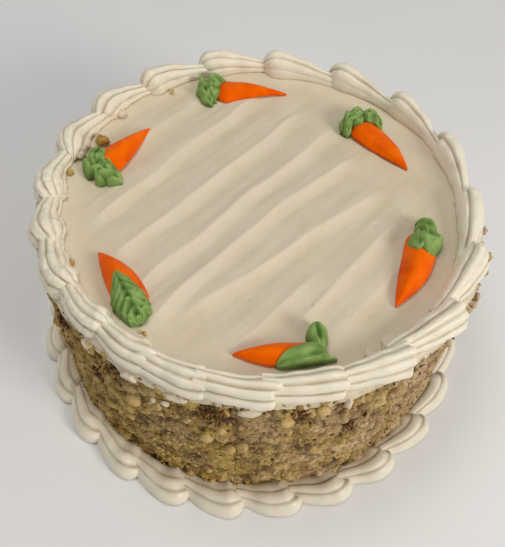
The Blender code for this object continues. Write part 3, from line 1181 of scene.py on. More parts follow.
@dataclass
class CreamDabs:
    """The smears of icing that the piping bag and the knife left on the nuts."""

    dabs: tuple[Dab, ...] = (
        Dab(-89.1, 103.6, 91.0, 9.0, 4.4, 3.6),
        Dab(-107.6, 103.8, 81.5, 3.8, 2.4, 2.2),
        Dab(-110.6, 103.8, 80.2, 2.8, 1.8, 2.0),
        Dab(-116.3, 103.6, 91.0, 8.0, 5.0, 3.6),
        Dab(-128.6, 103.6, 91.4, 8.5, 4.4, 3.6),
        Dab(-104.5, 103.6, 91.0, 9.5, 3.6, 3.6),
        Dab(-67.2, 104.2, 90.6, 3.0, 6.5, 3.4),
        Dab(-35.0, 103.8, 89.8, 3.6, 5.5, 3.2),
        Dab(28.0, 103.6, 90.8, 7.0, 4.4, 3.4),
        Dab(84.0, 103.6, 90.8, 8.0, 4.0, 3.4),
        Dab(131.0, 103.6, 91.0, 6.5, 4.6, 3.4),
        Dab(186.0, 103.6, 90.8, 7.5, 3.8, 3.4),
        Dab(169.0, 90.2, 98.4, 4.6, 3.4, 4.8),
        Dab(164.5, 90.8, 98.2, 3.2, 2.8, 3.4),
        Dab(186.5, 91.6, 98.2, 3.6, 3.0, 4.2),
        Dab(196.0, 92.0, 98.2, 5.4, 3.4, 4.4),
        Dab(199.5, 91.0, 98.0, 3.0, 2.4, 3.2),
        Dab(208.0, 92.4, 98.2, 5.0, 3.0, 4.0),
        Dab(147.0, 89.0, 98.2, 4.4, 3.0, 4.0),
        Dab(221.0, 93.0, 98.0, 4.0, 2.6, 3.4),
        Dab(-51.2, 89.8, 98.2, 8.0, 3.4, 4.4),
        Dab(-58.0, 90.4, 98.0, 6.0, 3.0, 3.8),
    )
    tone: float = 0.8

    def build(self) -> None:
        """Build the smears as one piece."""
        skin = Skin()
        for index, dab in enumerate(self.dabs):
            skin.add_tube(dab.rings(index), self.tone, (self.tone, self.tone))
        settle("icing_smears", skin, SMOOTHED)


# ---- iced top ----------------------------------------------------------------------------

@dataclass(frozen=True)
class KnifeRidge:
    """A crest that the palette knife left: its line across the strokes, and its reach."""

    near: float
    middle: float
    far: float
    start: float
    end: float
    height: float
    width: float = 20 * MM
    fall: float = 6.5 * MM
    fade: float = 9 * MM
    span: float = 60 * MM

    def line(self, along: Array) -> Array:
        """Return the crest's place across the strokes: a parabola through three places.

        Args:
            along: metres along the strokes.

        Returns:
            Metres across the strokes.
        """
        share = along / self.span
        bend = (self.near + self.far) / 2.0 - self.middle
        return self.middle + (self.far - self.near) / 2.0 * share + bend * share**2

    def rise(self, across: Array, along: Array) -> Array:
        """Return the crest's height at places on the top.

        It climbs in a hollow curve on one side and falls steeply on the other, and fades
        out at both ends.

        Args:
            across: metres across the strokes.
            along: metres along the strokes.

        Returns:
            Metres above the hollows.
        """
        apart = across - self.line(along)
        climb = np.clip(1.0 + apart / self.width, 0.0, 1.0) ** 1.8
        fall = np.clip(1.0 - apart / self.fall, 0.0, 1.0) ** 1.5
        begun = smooth_step(along, self.start - self.fade, self.start + self.fade)
        ended = smooth_step(along, self.end - self.fade, self.end + self.fade)
        return self.height * begun * (1.0 - ended) * np.where(apart < 0.0, climb, fall)


@dataclass(frozen=True)
class Smear:
    """A place where the icing's lower edge hangs down over the nuts."""

    angle: float
    width: float
    drop: float


@dataclass
class IcedTop:
    """The iced top: knife strokes, a soft rim, and a ragged edge over the nuts.

    Rounded, hanging and tucked are the shares of the skirt's rows that go over the rim,
    down the wall and in under the lower edge. The pits come as a close group and a few
    more that are strewn over the top; a pit's depth is a share of its width.
    """

    rim: float
    top: float
    foot: float
    direction: float = 51.0
    cells: int = 250
    skirt_rows: int = 22
    roundness: float = 3.2 * MM
    overhang: float = 0.5 * MM
    lip: float = 1.0 * MM
    calm: float = 87 * MM
    ridges: tuple[KnifeRidge, ...] = (
        KnifeRidge(-0.0690, -0.0700, -0.0720, -0.040, 0.034, 1.5 * MM),
        KnifeRidge(-0.0450, -0.0490, -0.0530, -0.059, 0.048, 2.2 * MM),
        KnifeRidge(-0.0230, -0.0250, -0.0275, -0.068, 0.054, 2.5 * MM),
        KnifeRidge(-0.0045, -0.0060, -0.0075, -0.070, 0.060, 2.5 * MM),
        KnifeRidge(0.0110, 0.0092, 0.0135, -0.080, 0.050, 2.8 * MM),
        KnifeRidge(0.0215, 0.0295, 0.0360, -0.063, 0.040, 2.4 * MM),
        KnifeRidge(0.0450, 0.0465, 0.0470, -0.065, -0.018, 1.9 * MM),
        KnifeRidge(0.0580, 0.0550, 0.0515, -0.038, 0.034, 2.0 * MM),
        KnifeRidge(0.0700, 0.0700, 0.0680, -0.030, 0.022, 1.4 * MM),
    )
    smears: tuple[Smear, ...] = (
        Smear(-89.0, 2.0, 3.4 * MM),
        Smear(-107.0, 3.2, 4.4 * MM),
        Smear(-117.0, 2.6, 5.0 * MM),
        Smear(-129.0, 2.2, 4.2 * MM),
        Smear(-72.0, 2.6, 2.4 * MM),
        Smear(-38.0, 3.5, 2.8 * MM),
        Smear(20.0, 4.0, 3.0 * MM),
        Smear(75.0, 3.0, 3.6 * MM),
        Smear(118.0, 4.5, 3.2 * MM),
        Smear(163.0, 3.0, 3.8 * MM),
        Smear(205.0, 3.5, 3.0 * MM),
    )
    wander: Waves = Waves(1.6 * MM, 26 * MM, Seed.STROKE_WANDER, 2)
    swells: Waves = Waves(0.35 * MM, 38 * MM, Seed.TOP_SWELLS, 2)
    chatter: Waves = Waves(0.30 * MM, 6 * MM, Seed.CHATTER, 3)
    fine_chatter: Waves = Waves(0.14 * MM, 2.8 * MM, Seed.FINE_CHATTER)
    rags: Waves = Waves(1.9 * MM, 6 * MM, Seed.RAGGED_EDGE, 3)
    rim_swells: Waves = Waves(0.8 * MM, 5 * MM, Seed.RIM, 3)
    hollow: float = 0.9 * MM
    drawn_out: float = 9.0
    pit_group: tuple[float, float] = (-0.0175, -0.0665)
    pit_counts: tuple[int, int] = (4, 16)
    pit_spread: float = 3 * MM
    pit_reach: float = 0.062
    pit_widths: tuple[float, float] = (0.4 * MM, 0.9 * MM)
    pit_depth: float = 0.55
    rounded: float = 0.35
    hanging: float = 0.50
    tucked: float = 0.15
    tuck_in: float = 3.2 * MM
    tuck_up: float = 0.7 * MM

    def surface(self, x: Array, y: Array) -> Array:
        """Return the height of the iced top.

        It is the sum of the knife ridges, a few slow swells, fine chatter drawn out along
        the strokes, and a scatter of small pits; the ridges fade towards the rim.

        Args:
            x: metres along +X.
            y: metres along +Y.

        Returns:
            Metres above the base.
        """
        turn = math.radians(self.direction)
        along = x * math.cos(turn) + y * math.sin(turn)
        across = x * math.sin(turn) - y * math.cos(turn)
        radius = np.hypot(x, y)
        where = np.stack([x, y, np.zeros_like(x)], axis=-1)
        drawn = np.stack([across, along / self.drawn_out, np.zeros_like(x)], axis=-1)
        strayed = across + self.wander.at(where)
        rise = sum(ridge.rise(strayed, along) for ridge in self.ridges)
        inside = 1.0 - smooth_step(radius, self.calm - 9 * MM, self.calm + 4 * MM)
        level = self.top - self.hollow + rise * inside + self.swells.at(where)
        level = level + self.chatter.at(drawn) * inside
        level = level + self.fine_chatter.at(drawn) * inside
        level = level + self.lip * smooth_step(radius, self.calm - 4 * MM, self.calm + 4 * MM)
        return level - self.pits(x, y)

    def pits(self, x: Array, y: Array) -> Array:
        """Return the depth of the small round pits left by bubbles in the icing.

        Args:
            x: metres along +X.
            y: metres along +Y.

        Returns:
            Metres below the smooth surface.
        """
        dice = np.random.default_rng(Seed.PITS)
        grouped, strewn = self.pit_counts
        near = np.array(self.pit_group) + dice.normal(0.0, self.pit_spread, (grouped, 2))
        far = dice.uniform(-self.pit_reach, self.pit_reach, (strewn, 2))
        spots = np.concatenate([near, far])
        widths = dice.uniform(*self.pit_widths, len(spots))
        depth = np.zeros_like(x)
        for spot, width in zip(spots, widths):
            apart = (x - spot[0]) ** 2 + (y - spot[1]) ** 2
            depth = depth + self.pit_depth * width * np.exp(-apart / width**2)
        return depth

    def edge_height(self, angle: Array) -> Array:
        """Return the height of the icing's ragged lower edge round the wall.

        Args:
            angle: radians round the cake.

        Returns:
            Metres above the base: rough noise, less a bell for each smear.
        """
        where = polar(self.rim, angle, np.zeros_like(angle))
        level = self.foot + self.rags.at(where)
        for smear in self.smears:
            apart = turn_between(angle, math.radians(smear.angle)) / math.radians(smear.width)
            level = level - smear.drop * np.exp(-apart**2)
        return level

    def build(self) -> None:
        """Build the top as a round grid, the rim and skirt as rings, and close it below.

        The round grid is a square one whose shells of cells are bent to circles: a point
        keeps its larger coordinate as radius, and the smaller one sets its angle.
        """
        side = np.linspace(-1.0, 1.0, self.cells + 1)
        a, b = np.meshgrid(side, side, indexing="ij")
        wide = np.abs(a) >= np.abs(b)
        size = np.where(wide, a, b)
        slope = np.divide(np.where(wide, b, a), size, out=np.zeros_like(a), where=size != 0.0)
        quarter = slope * math.pi / 4.0
        flat = self.rim - self.roundness
        x = flat * size * np.where(wide, np.cos(quarter), np.sin(quarter))
        y = flat * size * np.where(wide, np.sin(quarter), np.cos(quarter))
        disc = np.stack([x, y, self.surface(x, y)], axis=-1)

        count = self.cells + 1
        index = np.arange(count * count).reshape(count, count)
        border = np.concatenate([index[:-1, 0], index[-1, :-1], index[:0:-1, -1], index[0, :0:-1]])
        skirt = self.skirt(disc.reshape(-1, 3)[border])
        points = np.concatenate([disc.reshape(-1, 3), skirt.reshape(-1, 3)])
        rings = np.concatenate([border[None], count * count
                                + np.arange(skirt.shape[0] * len(border)).reshape(-1, len(border))])
        sides = np.stack([rings[:-1], rings[1:], np.roll(rings[1:], -1, 1),
                          np.roll(rings[:-1], -1, 1)], axis=-1).reshape(-1, 4)
        points = np.concatenate([points, [[0.0, 0.0, self.foot + 2 * MM]]])
        lid = strip_quads(count, count, False)
        skin = Skin()
        skin.add(points, [lid, sides, fan(rings[-1], len(points) - 1)], self.tones(points))
        settle("iced_top", skin, SMOOTHED, ("top_icing",))

    def skirt(self, border: Array) -> Array:
        """Return the rings from the flat top's edge over the rim and down the wall.

        Args:
            border: the points of the flat top's edge.

        Returns:
            An array of rings.
        """
        angle = np.arctan2(border[:, 1], border[:, 0])[None, :]
        share = np.linspace(0.0, 1.0, self.skirt_rows)[1:, None]
        low = self.edge_height(angle)
        high = border[None, :, 2]
        turned = np.clip(share / self.rounded, 0.0, 1.0) * math.pi / 2.0
        fallen = np.clip((share - self.rounded) / self.hanging, 0.0, 1.0)
        tucked = np.clip((share - self.rounded - self.hanging) / self.tucked, 0.0, 1.0)
        out = self.rim - self.roundness + (self.roundness + self.overhang * fallen) * np.sin(turned)
        shoulder = high - self.roundness * (1.0 - np.cos(turned))
        height = shoulder + (low - (high - self.roundness)) * fallen
        height = height + self.tuck_up * tucked
        out = out - self.tuck_in * tucked**2
        swell = self.rim_swells.at(polar(out, angle, height)) * np.sin(turned)
        return polar(out + swell, np.broadcast_to(angle, height.shape), height)

    def tones(self, points: Array) -> Array:
        """Return the icing's tone, lower the lower the point: painted shade in the hollows of the
        strokes and down the rim.
        """
        return np.clip(0.62 + (points[:, 2] - self.top) / (4 * MM), 0.25, 1.0)


# ---- piped borders -----------------------------------------------------------------------

@dataclass(frozen=True)
class StarTip:
    """What a star tip leaves: where its teeth cut grooves across a shell, and how deep."""

    grooves: tuple[float, ...]
    depth: float
    sharpness: float

    def ridges(self, share: Array, grooves: tuple[float, ...], ends: Array) -> Array:
        """Return the domes between grooves, and how far each one's end lags.

        Args:
            share: from 0 at the inner foot to 1 at the outer foot.
            grooves: the shares where the teeth cut.
            ends: how far each ridge's end lies ahead, in metres.

        Returns:
            Two rows: the dome, 0 in a groove and 1 on a crest; and the lag, 0 in a groove.
        """
        edges = np.array([0.0, *grooves, 1.0])
        ridge = np.clip(np.searchsorted(edges, share, side="right") - 1, 0, len(edges) - 2)
        phase = (share - edges[ridge]) / (edges[ridge + 1] - edges[ridge])
        dome = np.clip(4.0 * phase * (1.0 - phase), 0.0, 1.0) ** self.sharpness
        return np.stack([dome, dome * ends[ridge]])

    def section(self, share: Array, grip: "Grip", ends: Array) -> tuple[Array, Array, Array]:
        """Return the outline's size at shares across a shell.

        Between two grooves the outline rises in a dome, so that each groove is a cusp.
        Where ridges merged, every other groove is filled.

        Args:
            share: from 0 at the inner foot to 1 at the outer foot.
            grip: how the bag was held: how far the teeth bit and the ridges merged.
            ends: how far each ridge's end lies ahead, in metres.

        Returns:
            The size, 1 on a ridge and less in a groove; the dome, 0 in a groove and 1 on a
            crest; and the lag of each ridge's end.
        """
        fine = self.ridges(share, self.grooves, ends)
        broad = self.ridges(share, self.grooves[1::2], ends[::2])
        dome, lag = fine * (1.0 - grip.merged) + broad * grip.merged
        return 1.0 - grip.cut * self.depth * (1.0 - dome), dome, lag


@dataclass(frozen=True)
class Grip:
    """How the bag was held at one angle round a border.

    In a hand's table the lengths (width, height, bow, swing, pull) are in millimetres. The
    rest are shares, but for the angle, in degrees, and the power that blunts the head.
    """

    angle: float
    width: float
    height: float
    tail: float
    bow: float
    swing: float
    pull: float
    dome: float
    blunt: float
    cut: float
    merged: float
    torn: float


@dataclass(frozen=True)
class Hand:
    """The hand that piped a border: its grips at a few angles, and how loosely it kept them."""

    grips: tuple[Grip, ...]
    loose: float
    swelling: tuple[float, ...] = (1.0, 1.0, 2.0, 0.0, 0.0, 0.0)
    straying: tuple[float, ...] = (0.0, 0.0, 0.0, 8.0, 16.0, 6.0)
    lengths: tuple[int, ...] = (0, 1, 3, 4, 5)

    def at(self, angle: float, dice: np.random.Generator) -> Grip:
        """Return the grip for one shell: a straight blend of the grips to either side.

        The width, height and tail then swell by chance, and the bow, swing and pull stray.

        Args:
            angle: radians round the cake.
            dice: the seeded random numbers.

        Returns:
            The blended grip, with its lengths in metres.
        """
        table = np.array([astuple(grip) for grip in self.grips])
        degrees = math.degrees(angle)
        values = np.array([np.interp(degrees, table[:, 0], column, period=360.0)
                           for column in table[:, 1:].T])
        chance = self.loose * dice.uniform(-1.0, 1.0, len(self.swelling))
        held = slice(0, len(chance))
        values[held] = values[held] * (1.0 + np.array(self.swelling) * chance) \
            + np.array(self.straying) * chance
        values[list(self.lengths)] *= MM
        return Grip(degrees, *(float(value) for value in values))


@dataclass
class ShellBorder:
    """One piped border. Each shell is a star section carried along its own short path.

    The squeeze of the bag pulses along a shell, its grooves wobble, and its ridges end
    unevenly, by up to so many millimetres. The taper is where the shrinking starts and
    ends, as shares of the way to the next head.
    """

    prefix: str
    tip: StarTip
    hand: Hand
    seed: int
    reach: float
    arc: tuple[float, float]
    tuck: float
    wall: float
    steps: tuple[float, ...]
    inner: float = 1.0
    ragged: float = 0.40 * MM
    pulse: float = 0.025
    pulse_step: float = 2.1 * MM
    wobble: float = 0.018
    uneven: float = 1.3
    taper: tuple[float, float] = (0.12, 1.10)
    lag_reach: float = 3.2
    hollow: float = 0.8 * MM
    sunk: float = 2.6 * MM
    head_rings: int = 18
    tail_rings: int = 34
    across_steps: int = 60
    under_steps: int = 8

    def place(self, node: str) -> tuple[float, float, float, float]:
        """Measure one shell's solid.

        Args:
            node: the solid's name.

        Returns:
            The angles of its head and tail, the radius of its axis, and its foot.
        """
        points = solid_points(node)
        angles = np.arctan2(points[:, 1], points[:, 0])
        middle = math.atan2(np.sin(angles).mean(), np.cos(angles).mean())
        turned = turn_between(angles, middle)
        axis = float(np.hypot(points[:, 0], points[:, 1]).max()) - self.reach
        return (middle + float(turned.max()), middle + float(turned.min()), axis,
                float(points[:, 2].min()))

    def path(self, grip: Grip, length: float) -> tuple[Array, Array]:
        """Return the steps along a shell's path and how far it lies from the border's line.

        The path starts aside by the swing, bows out in its middle and is pulled in where
        the bag was lifted away.

        Args:
            grip: how the bag was held.
            length: from this shell's head to the next one's.

        Returns:
            Metres forward from the head, and metres outwards, one row for each ring.
        """
        dome = grip.dome * grip.width
        quarter = np.linspace(0.05, 0.5, self.head_rings) * math.pi
        head = dome * (1.0 - np.cos(quarter))
        tail = np.linspace(dome, length * (1.0 + self.tuck), self.tail_rings + 1)[1:]
        forward = np.concatenate([head, tail])[:, None]
        run = forward / length
        offset = grip.swing * np.clip(1.0 - run / 0.55, 0.0, 1.0) ** 2
        offset = offset + grip.bow * np.sin(math.pi * np.clip(run, 0.0, 1.0) ** 0.75)
        return forward, offset - grip.pull * smooth_step(run, 0.20, 1.05)

    def shell(self, node: str, dice: np.random.Generator) -> tuple[Array, Array]:
        """Return one shell.

        The section grows in a blunt dome at the head, then shrinks towards the tail, which
        runs on under the next head. Each ridge ends a little ahead of or behind the next.

        Args:
            node: the solid that the shell stands for.
            dice: the seeded random numbers.

        Returns:
            Its rings from head to tail, and a tone for each point: 1 on a crest, 0 in a groove and
            on the underside, where the finish paints shade.
        """
        head, tail, axis, foot = self.place(node)
        length = (head - tail) * axis
        grip = self.hand.at((head + tail) / 2.0, dice)
        forward, offset = self.path(grip, length)
        run = forward / length
        dome = grip.dome * grip.width
        short = np.clip(1.0 - forward / dome, 0.0, 1.0)
        bulb = (1.0 - short**grip.blunt) ** (1.0 / grip.blunt)
        taper = smooth_step(run, *self.taper)
        wide = grip.width * bulb * (1.0 - (1.0 - grip.tail) * taper)
        tall = grip.height * bulb**0.85 * (1.0 - (0.94 - grip.tail) * taper)
        pulse = 1.0 + self.pulse * np.sin(forward / self.pulse_step + dice.uniform(0.0, 6.0))

        share = np.linspace(0.0, 1.0, self.across_steps)[None, :]
        wobble = self.wobble * math.sin(dice.uniform(0.0, 6.0)) * np.sin(math.pi * share)
        chance = dice.uniform(-self.uneven, self.uneven, len(self.steps)) * MM
        ends = np.array(self.steps) + chance
        size, crest, lag = self.tip.section(np.clip(share + wobble, 0.0, 1.0), grip, ends)
        turn = np.radians(self.arc[0] + (self.arc[1] - self.arc[0]) * share)
        side = size * np.cos(turn) * wide * pulse
        side = np.where(side < 0.0, self.inner * side, side)
        up = size * np.sin(turn) * tall * pulse

        slope = np.gradient(offset[:, 0], forward[:, 0])[:, None]
        lean = np.sqrt(1.0 + slope**2)
        shift = lag * np.clip(1.0 - forward / (self.lag_reach * dome), 0.0, 1.0) ** 1.5
        ahead = forward - shift - side * slope / lean
        out = offset + side / lean

        under = np.linspace(1.0, 0.0, self.under_steps + 2)[None, 1:-1]
        ahead = np.concatenate([ahead, evenly(ahead, self.under_steps)], axis=1)
        out = np.concatenate([out, evenly(out, self.under_steps)], axis=1)
        floor = evenly(up, self.under_steps) - self.hollow * bulb * np.sin(under * math.pi)
        up = np.concatenate([up, floor], axis=1)

        radius = np.maximum(axis + out, self.wall)
        lowest = 0.0 if foot < MM else -self.sunk
        rings = polar(radius, head - ahead / axis, foot + np.maximum(up, lowest))
        # Tone: crests lighter, and grooves and the flat underside darker, as painted shade.
        flat = np.zeros((len(run), self.under_steps))
        tone = np.concatenate([crest * np.ones_like(run), flat], axis=1)
        return self.roughen(rings, bulb, grip.torn, dice), tone

    def roughen(self, rings: Array, bulb: Array, torn: float,
                dice: np.random.Generator) -> Array:
        """Push the skin in and out a little: soft dents everywhere, and torn ridge ends.

        Args:
            rings: the shell's rings.
            bulb: each ring's size, small at the very start.
            torn: how torn the skin is, 1 for a little.
            dice: the seeded random numbers.

        Returns:
            The roughened rings.
        """
        seed = int(dice.integers(1000, 9000))
        away = rings - rings.mean(axis=1, keepdims=True)
        away = away / np.maximum(np.linalg.norm(away, axis=-1, keepdims=True), 1e-6)
        dents = soft_noise(rings, 7 * MM, seed, 2)
        rags = soft_noise(rings, 1.9 * MM, seed + 5, 2) * torn
        end = np.clip(1.0 - np.arange(len(rings)) / 20.0, 0.0, 1.0)[:, None]
        push = self.ragged * (1.2 * dents + (0.3 * torn + 1.3 * end) * rags) * bulb
        push = np.where(rings[..., 2] < 0.3 * MM, 0.0, push)
        moved = rings + away * push[..., None]
        moved[..., 2] = np.maximum(moved[..., 2], 0.0)
        return moved

    def build(self) -> None:
        """Build every shell of the border, each as a piece of its own."""
        dice = np.random.default_rng(self.seed)
        nodes = sorted(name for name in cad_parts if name.startswith(self.prefix + "_"))
        for node in nodes:
            skin = Skin()
            skin.add_tube(*self.shell(node, dice), (0.5, 0.3))
            settle(node.replace("shell", "swirl"), skin, PIPED, (node,))


TOP_TIP = StarTip((0.16, 0.36, 0.57, 0.78), 0.36, 0.42)
BASE_TIP = StarTip((0.40, 0.64), 0.23, 0.42)
TOP_HAND = Hand((
    Grip(-97.0, 6.5, 9.3, 0.88, 0.1, 0.3, 0.4, 0.45, 3.2, 1.00, 0.00, 0.8),
    Grip(-70.0, 6.7, 9.5, 0.80, 0.2, 0.8, 0.6, 0.50, 3.0, 1.00, 0.00, 0.9),
    Grip(-42.0, 7.0, 9.8, 0.62, 0.4, 4.0, 2.2, 0.42, 3.2, 1.00, 0.35, 1.6),
    Grip(-12.0, 6.9, 10.0, 0.58, 0.6, 2.0, 2.0, 0.65, 2.5, 0.75, 0.80, 1.8),
    Grip(30.0, 7.2, 11.4, 0.44, 0.8, 0.6, 1.4, 0.90, 2.1, 0.50, 0.85, 0.8),
    Grip(75.0, 7.5, 11.8, 0.42, 0.8, 0.6, 1.0, 0.95, 2.1, 0.50, 0.60, 0.8),
    Grip(120.0, 7.4, 11.4, 0.46, 0.8, -1.0, 0.8, 0.95, 2.1, 0.48, 0.20, 0.8),
    Grip(152.0, 8.2, 11.0, 0.46, 1.6, -4.0, 1.2, 1.10, 2.0, 0.42, 0.00, 1.8),
    Grip(192.0, 8.2, 11.0, 0.48, 1.6, -4.0, 1.2, 1.10, 2.0, 0.45, 0.00, 2.3),
    Grip(222.0, 7.4, 9.8, 0.70, 0.8, -2.4, 0.8, 0.90, 2.4, 0.75, 0.00, 1.9),
), 0.05)
BASE_HAND = Hand((
    Grip(0.0, 8.6, 10.4, 0.56, 1.6, -1.6, 2.2, 0.80, 2.2, 0.50, 0.0, 1.2),
    Grip(180.0, 8.6, 10.4, 0.60, 1.8, -1.8, 2.2, 0.85, 2.2, 0.54, 0.0, 1.4),
), 0.04)


# ---- carrots -----------------------------------------------------------------------------

@dataclass(frozen=True)
class CarrotPlace:
    """Where a carrot lies and its outline: half its width in mm, belly and sideways bow."""

    angle: float
    radius: float
    heading: float
    length: float
    half_width: float
    belly: float
    bow: float

    def at(self, back: Array, side: Array, height: Array, limit: float) -> Array:
        """Return points back from the tip and out to the side, kept within the border.

        Args:
            back: metres back from the tip.
            side: metres to the outer side of the carrot's line.
            height: metres above the base.
            limit: radius past which the icing is pressed back.

        Returns:
            Points with x, y, z last.
        """
        place = math.radians(self.angle)
        turn = math.radians(self.heading)
        x = self.radius * math.cos(place) - back * math.cos(turn) - side * math.sin(turn)
        y = self.radius * math.sin(place) - back * math.sin(turn) + side * math.cos(turn)
        press = np.minimum(1.0, limit / np.maximum(np.hypot(x, y), 1e-6))
        return np.stack(np.broadcast_arrays(x * press, y * press, height), axis=-1)


@dataclass
class CarrotRoot:
    """A root of orange icing: a rounded shoulder that tapers to a fine tip."""

    number: int
    place: CarrotPlace
    bed: float
    cover: float
    height: float = 7.4 * MM
    shoulder: float = 0.17
    roof: float = 1.55
    limit: float = 87 * MM
    along_steps: int = 60
    across_steps: int = 34

    def size(self, share: Array) -> Array:
        """Return the root's size along it, 1 at its widest.

        The shoulder is a quarter ellipse; ahead of it the size is one less a power of the
        share still to go.

        Args:
            share: from 0 at the shoulder's end to 1 at the tip.

        Returns:
            The size.
        """
        behind = np.clip(1.0 - share / self.shoulder, 0.0, 1.0)
        ahead = np.clip((share - self.shoulder) / (1.015 - self.shoulder), 0.0, 1.0)
        return np.sqrt(1.0 - behind**2) * (1.0 - ahead**self.place.belly)

    def sunk(self, back: Array) -> Array:
        """Return the share of its height that the root keeps under the greens."""
        return 1.0 - 0.30 * smooth_step(back, self.cover, self.cover + 12 * MM)

    def surface(self, back: Array, side: Array) -> Array:
        """Return the root's height above its bed, where its section is a soft roof.

        Args:
            back: metres back from the tip.
            side: metres to the outer side of the carrot's line.

        Returns:
            Metres above the bed, 0 outside the root.
        """
        share = np.clip(1.0 - back / self.place.length, 0.0, 1.0)
        size = self.size(share)
        bowed = side - self.place.bow * MM * np.sin(math.pi * share)
        width = np.maximum(self.place.half_width * MM * size, 1e-6)
        inside = np.clip(1.0 - np.abs(bowed / width) ** self.roof, 0.0, 1.0)
        return self.height * size**0.85 * inside ** (1.0 / self.roof) * self.sunk(back)

    def build(self) -> None:
        """Build the root as a roof-shaped section, shrunk towards the tip, on a flat foot."""
        dice = np.random.default_rng(Seed.ROOT + self.number)
        share = (1.0 - np.cos(np.linspace(0.03, 1.0, self.along_steps) * math.pi)) / 2.0
        share = (0.001 + 0.998 * share)[:, None]
        size = self.size(share)
        turn = np.linspace(0.0, math.pi, self.across_steps)[None, :]
        lean = dice.uniform(-0.10, 0.10)
        cosine = np.cos(turn)
        reach = (np.abs(cosine) ** self.roof + np.sin(turn) ** self.roof) ** (-1.0 / self.roof)
        drawn = 1.0 - 0.03 * np.abs(np.sin(turn * 3.0 + lean)) ** 8
        side = self.place.half_width * MM * size * reach * cosine * drawn
        sunk = self.sunk(self.place.length * (1.0 - share))
        up = self.height * size**0.85 * reach * np.sin(turn) * drawn * sunk
        side = side + lean * up + self.place.bow * MM * np.sin(math.pi * share)
        back = self.place.length * (1.0 - share)
        rings = self.place.at(back, side, self.bed + up, self.limit)
        lumps = Waves(0.14 * MM, 4 * MM, Seed.ROOT_SKIN + self.number, 2)
        rings = rings + lumps.at(rings)[..., None]
        rings[..., 2] = np.maximum(rings[..., 2], self.bed - 1.2 * MM)
        below = evenly(rings, 4)
        below[..., 2] -= 1.0 * MM
        rings = np.concatenate([rings, below], axis=1)[:, ::-1]
        patches = soft_noise(rings * np.array([1.0, 1.0, 0.3]), 9 * MM, Seed.ROOT_TONE, 2)
        rise = (rings[..., 2] - self.bed) / self.height
        # Random dye patches, plus painted light: the root is lighter towards its top and darker
        # towards its foot.
        tone = np.clip(0.4 + 0.36 * patches + 0.25 * rise, 0.0, 1.0)
        skin = Skin()
        skin.add_tube(rings, tone, (tone[0].mean(), tone[-1].mean()))
        settle(f"carrot_root_{self.number}", skin, ORANGE, (f"carrot_{self.number}",))


@dataclass(frozen=True)
class Frond:
    """One piped leaf or fold of a carrot's greens, in the carrot's own directions, in mm.

    It starts at a place back from the carrot's tip and out to its side. It heads off at an
    angle from the direction of the tip, in degrees, and turns on the way by its bend.
    """

    back: float
    side: float
    heading: float
    bend: float
    length: float
    width: float
    height: float
    ruffle: float = 0.12
    ribs: float = 3.0
    vein: float = 0.0
    point: float = 0.75
    drape: float = 0.42

    def rings(self, seed: int, steps: int = 30, across: int = 30) -> tuple[Array, Array]:
        """Return the frond as arches set along a bending middle line.

        The width rises and falls as a sine of the share of the length, drawn to a point.
        Slanting ribs stand on the arch as cusps, and a vein may be sunk down its middle.

        Args:
            seed: picks the ruffles.
            steps: arches along the frond.
            across: points in an arch.

        Returns:
            Back, side and height in metres, each with a row for every arch, and tones: painted
            light on crests and arch tops, painted shade in the vein.
        """
        share = (1.0 - np.cos(np.linspace(0.02, 0.985, steps) * math.pi)) / 2.0
        turned = np.radians(self.heading + self.bend * (share - 0.5))
        step = np.diff(share, prepend=0.0) * self.length
        middle_back = self.back - np.cumsum(np.cos(turned) * step)
        middle_side = self.side + np.cumsum(np.sin(turned) * step)
        share = share[:, None]
        turned = turned[:, None]
        spread = np.linspace(-1.0, 1.0, across)[None, :]
        swell = np.sin(math.pi * share**self.point) ** 0.75
        phase = seed * 1.7 + math.pi * self.ribs * (share + 0.28 * np.abs(spread))
        crest = 1.0 - np.abs(np.cos(phase)) ** 1.6
        frill = 1.0 + self.ruffle * (crest - 0.5) * np.abs(spread)
        width = self.width * swell * spread * frill
        arch = (1.0 - np.abs(spread) ** 2.6) ** 0.5
        sunk = self.vein * np.exp(-((spread / 0.16) ** 2)) * np.sin(math.pi * share) ** 0.5
        rise = arch * (0.80 + 0.26 * (crest - 0.5)) - 0.34 * sunk
        height = self.height * swell**0.7 * rise
        back = middle_back[:, None] + width * np.sin(turned)
        side = middle_side[:, None] + width * np.cos(turned)
        # Painted light and shade: crests and the tops of the arches lighter, the sunk vein darker.
        tone = 0.30 + 0.46 * crest * (0.5 + 0.5 * arch) + 0.12 * arch - 0.50 * sunk
        return np.stack([back, side, height], axis=-1) * MM, tone

    def add_to(self, skin: Skin, root: CarrotRoot, limit: float, seed: int) -> None:
        """Add the frond to a skin, draped over the root and closed below.

        Args:
            skin: the skin that gathers the greens.
            root: the root that it lies over.
            limit: radius past which it is pressed back.
            seed: picks the ruffles.
        """
        local, tone = self.rings(seed)
        bed = root.bed
        rise = local[..., 2]
        draped = root.surface(local[..., 0], local[..., 1]) + self.drape * rise
        rings = root.place.at(local[..., 0], local[..., 1], bed + np.maximum(rise, draped), limit)
        rings = rings + Waves(0.13 * MM, 2.2 * MM, Seed.FROND + seed, 2).at(rings)[..., None]
        below = evenly(rings, 3)
        below[..., 2] = bed - 1.2 * MM
        rings = np.concatenate([rings, below], axis=1)
        # The hidden underside and its closing points take painted shade.
        tone = np.concatenate([tone, np.zeros(below.shape[:2])], axis=1)
        skin.add_tube(rings, np.clip(tone, 0.0, 1.0), (0.1, 0.3))


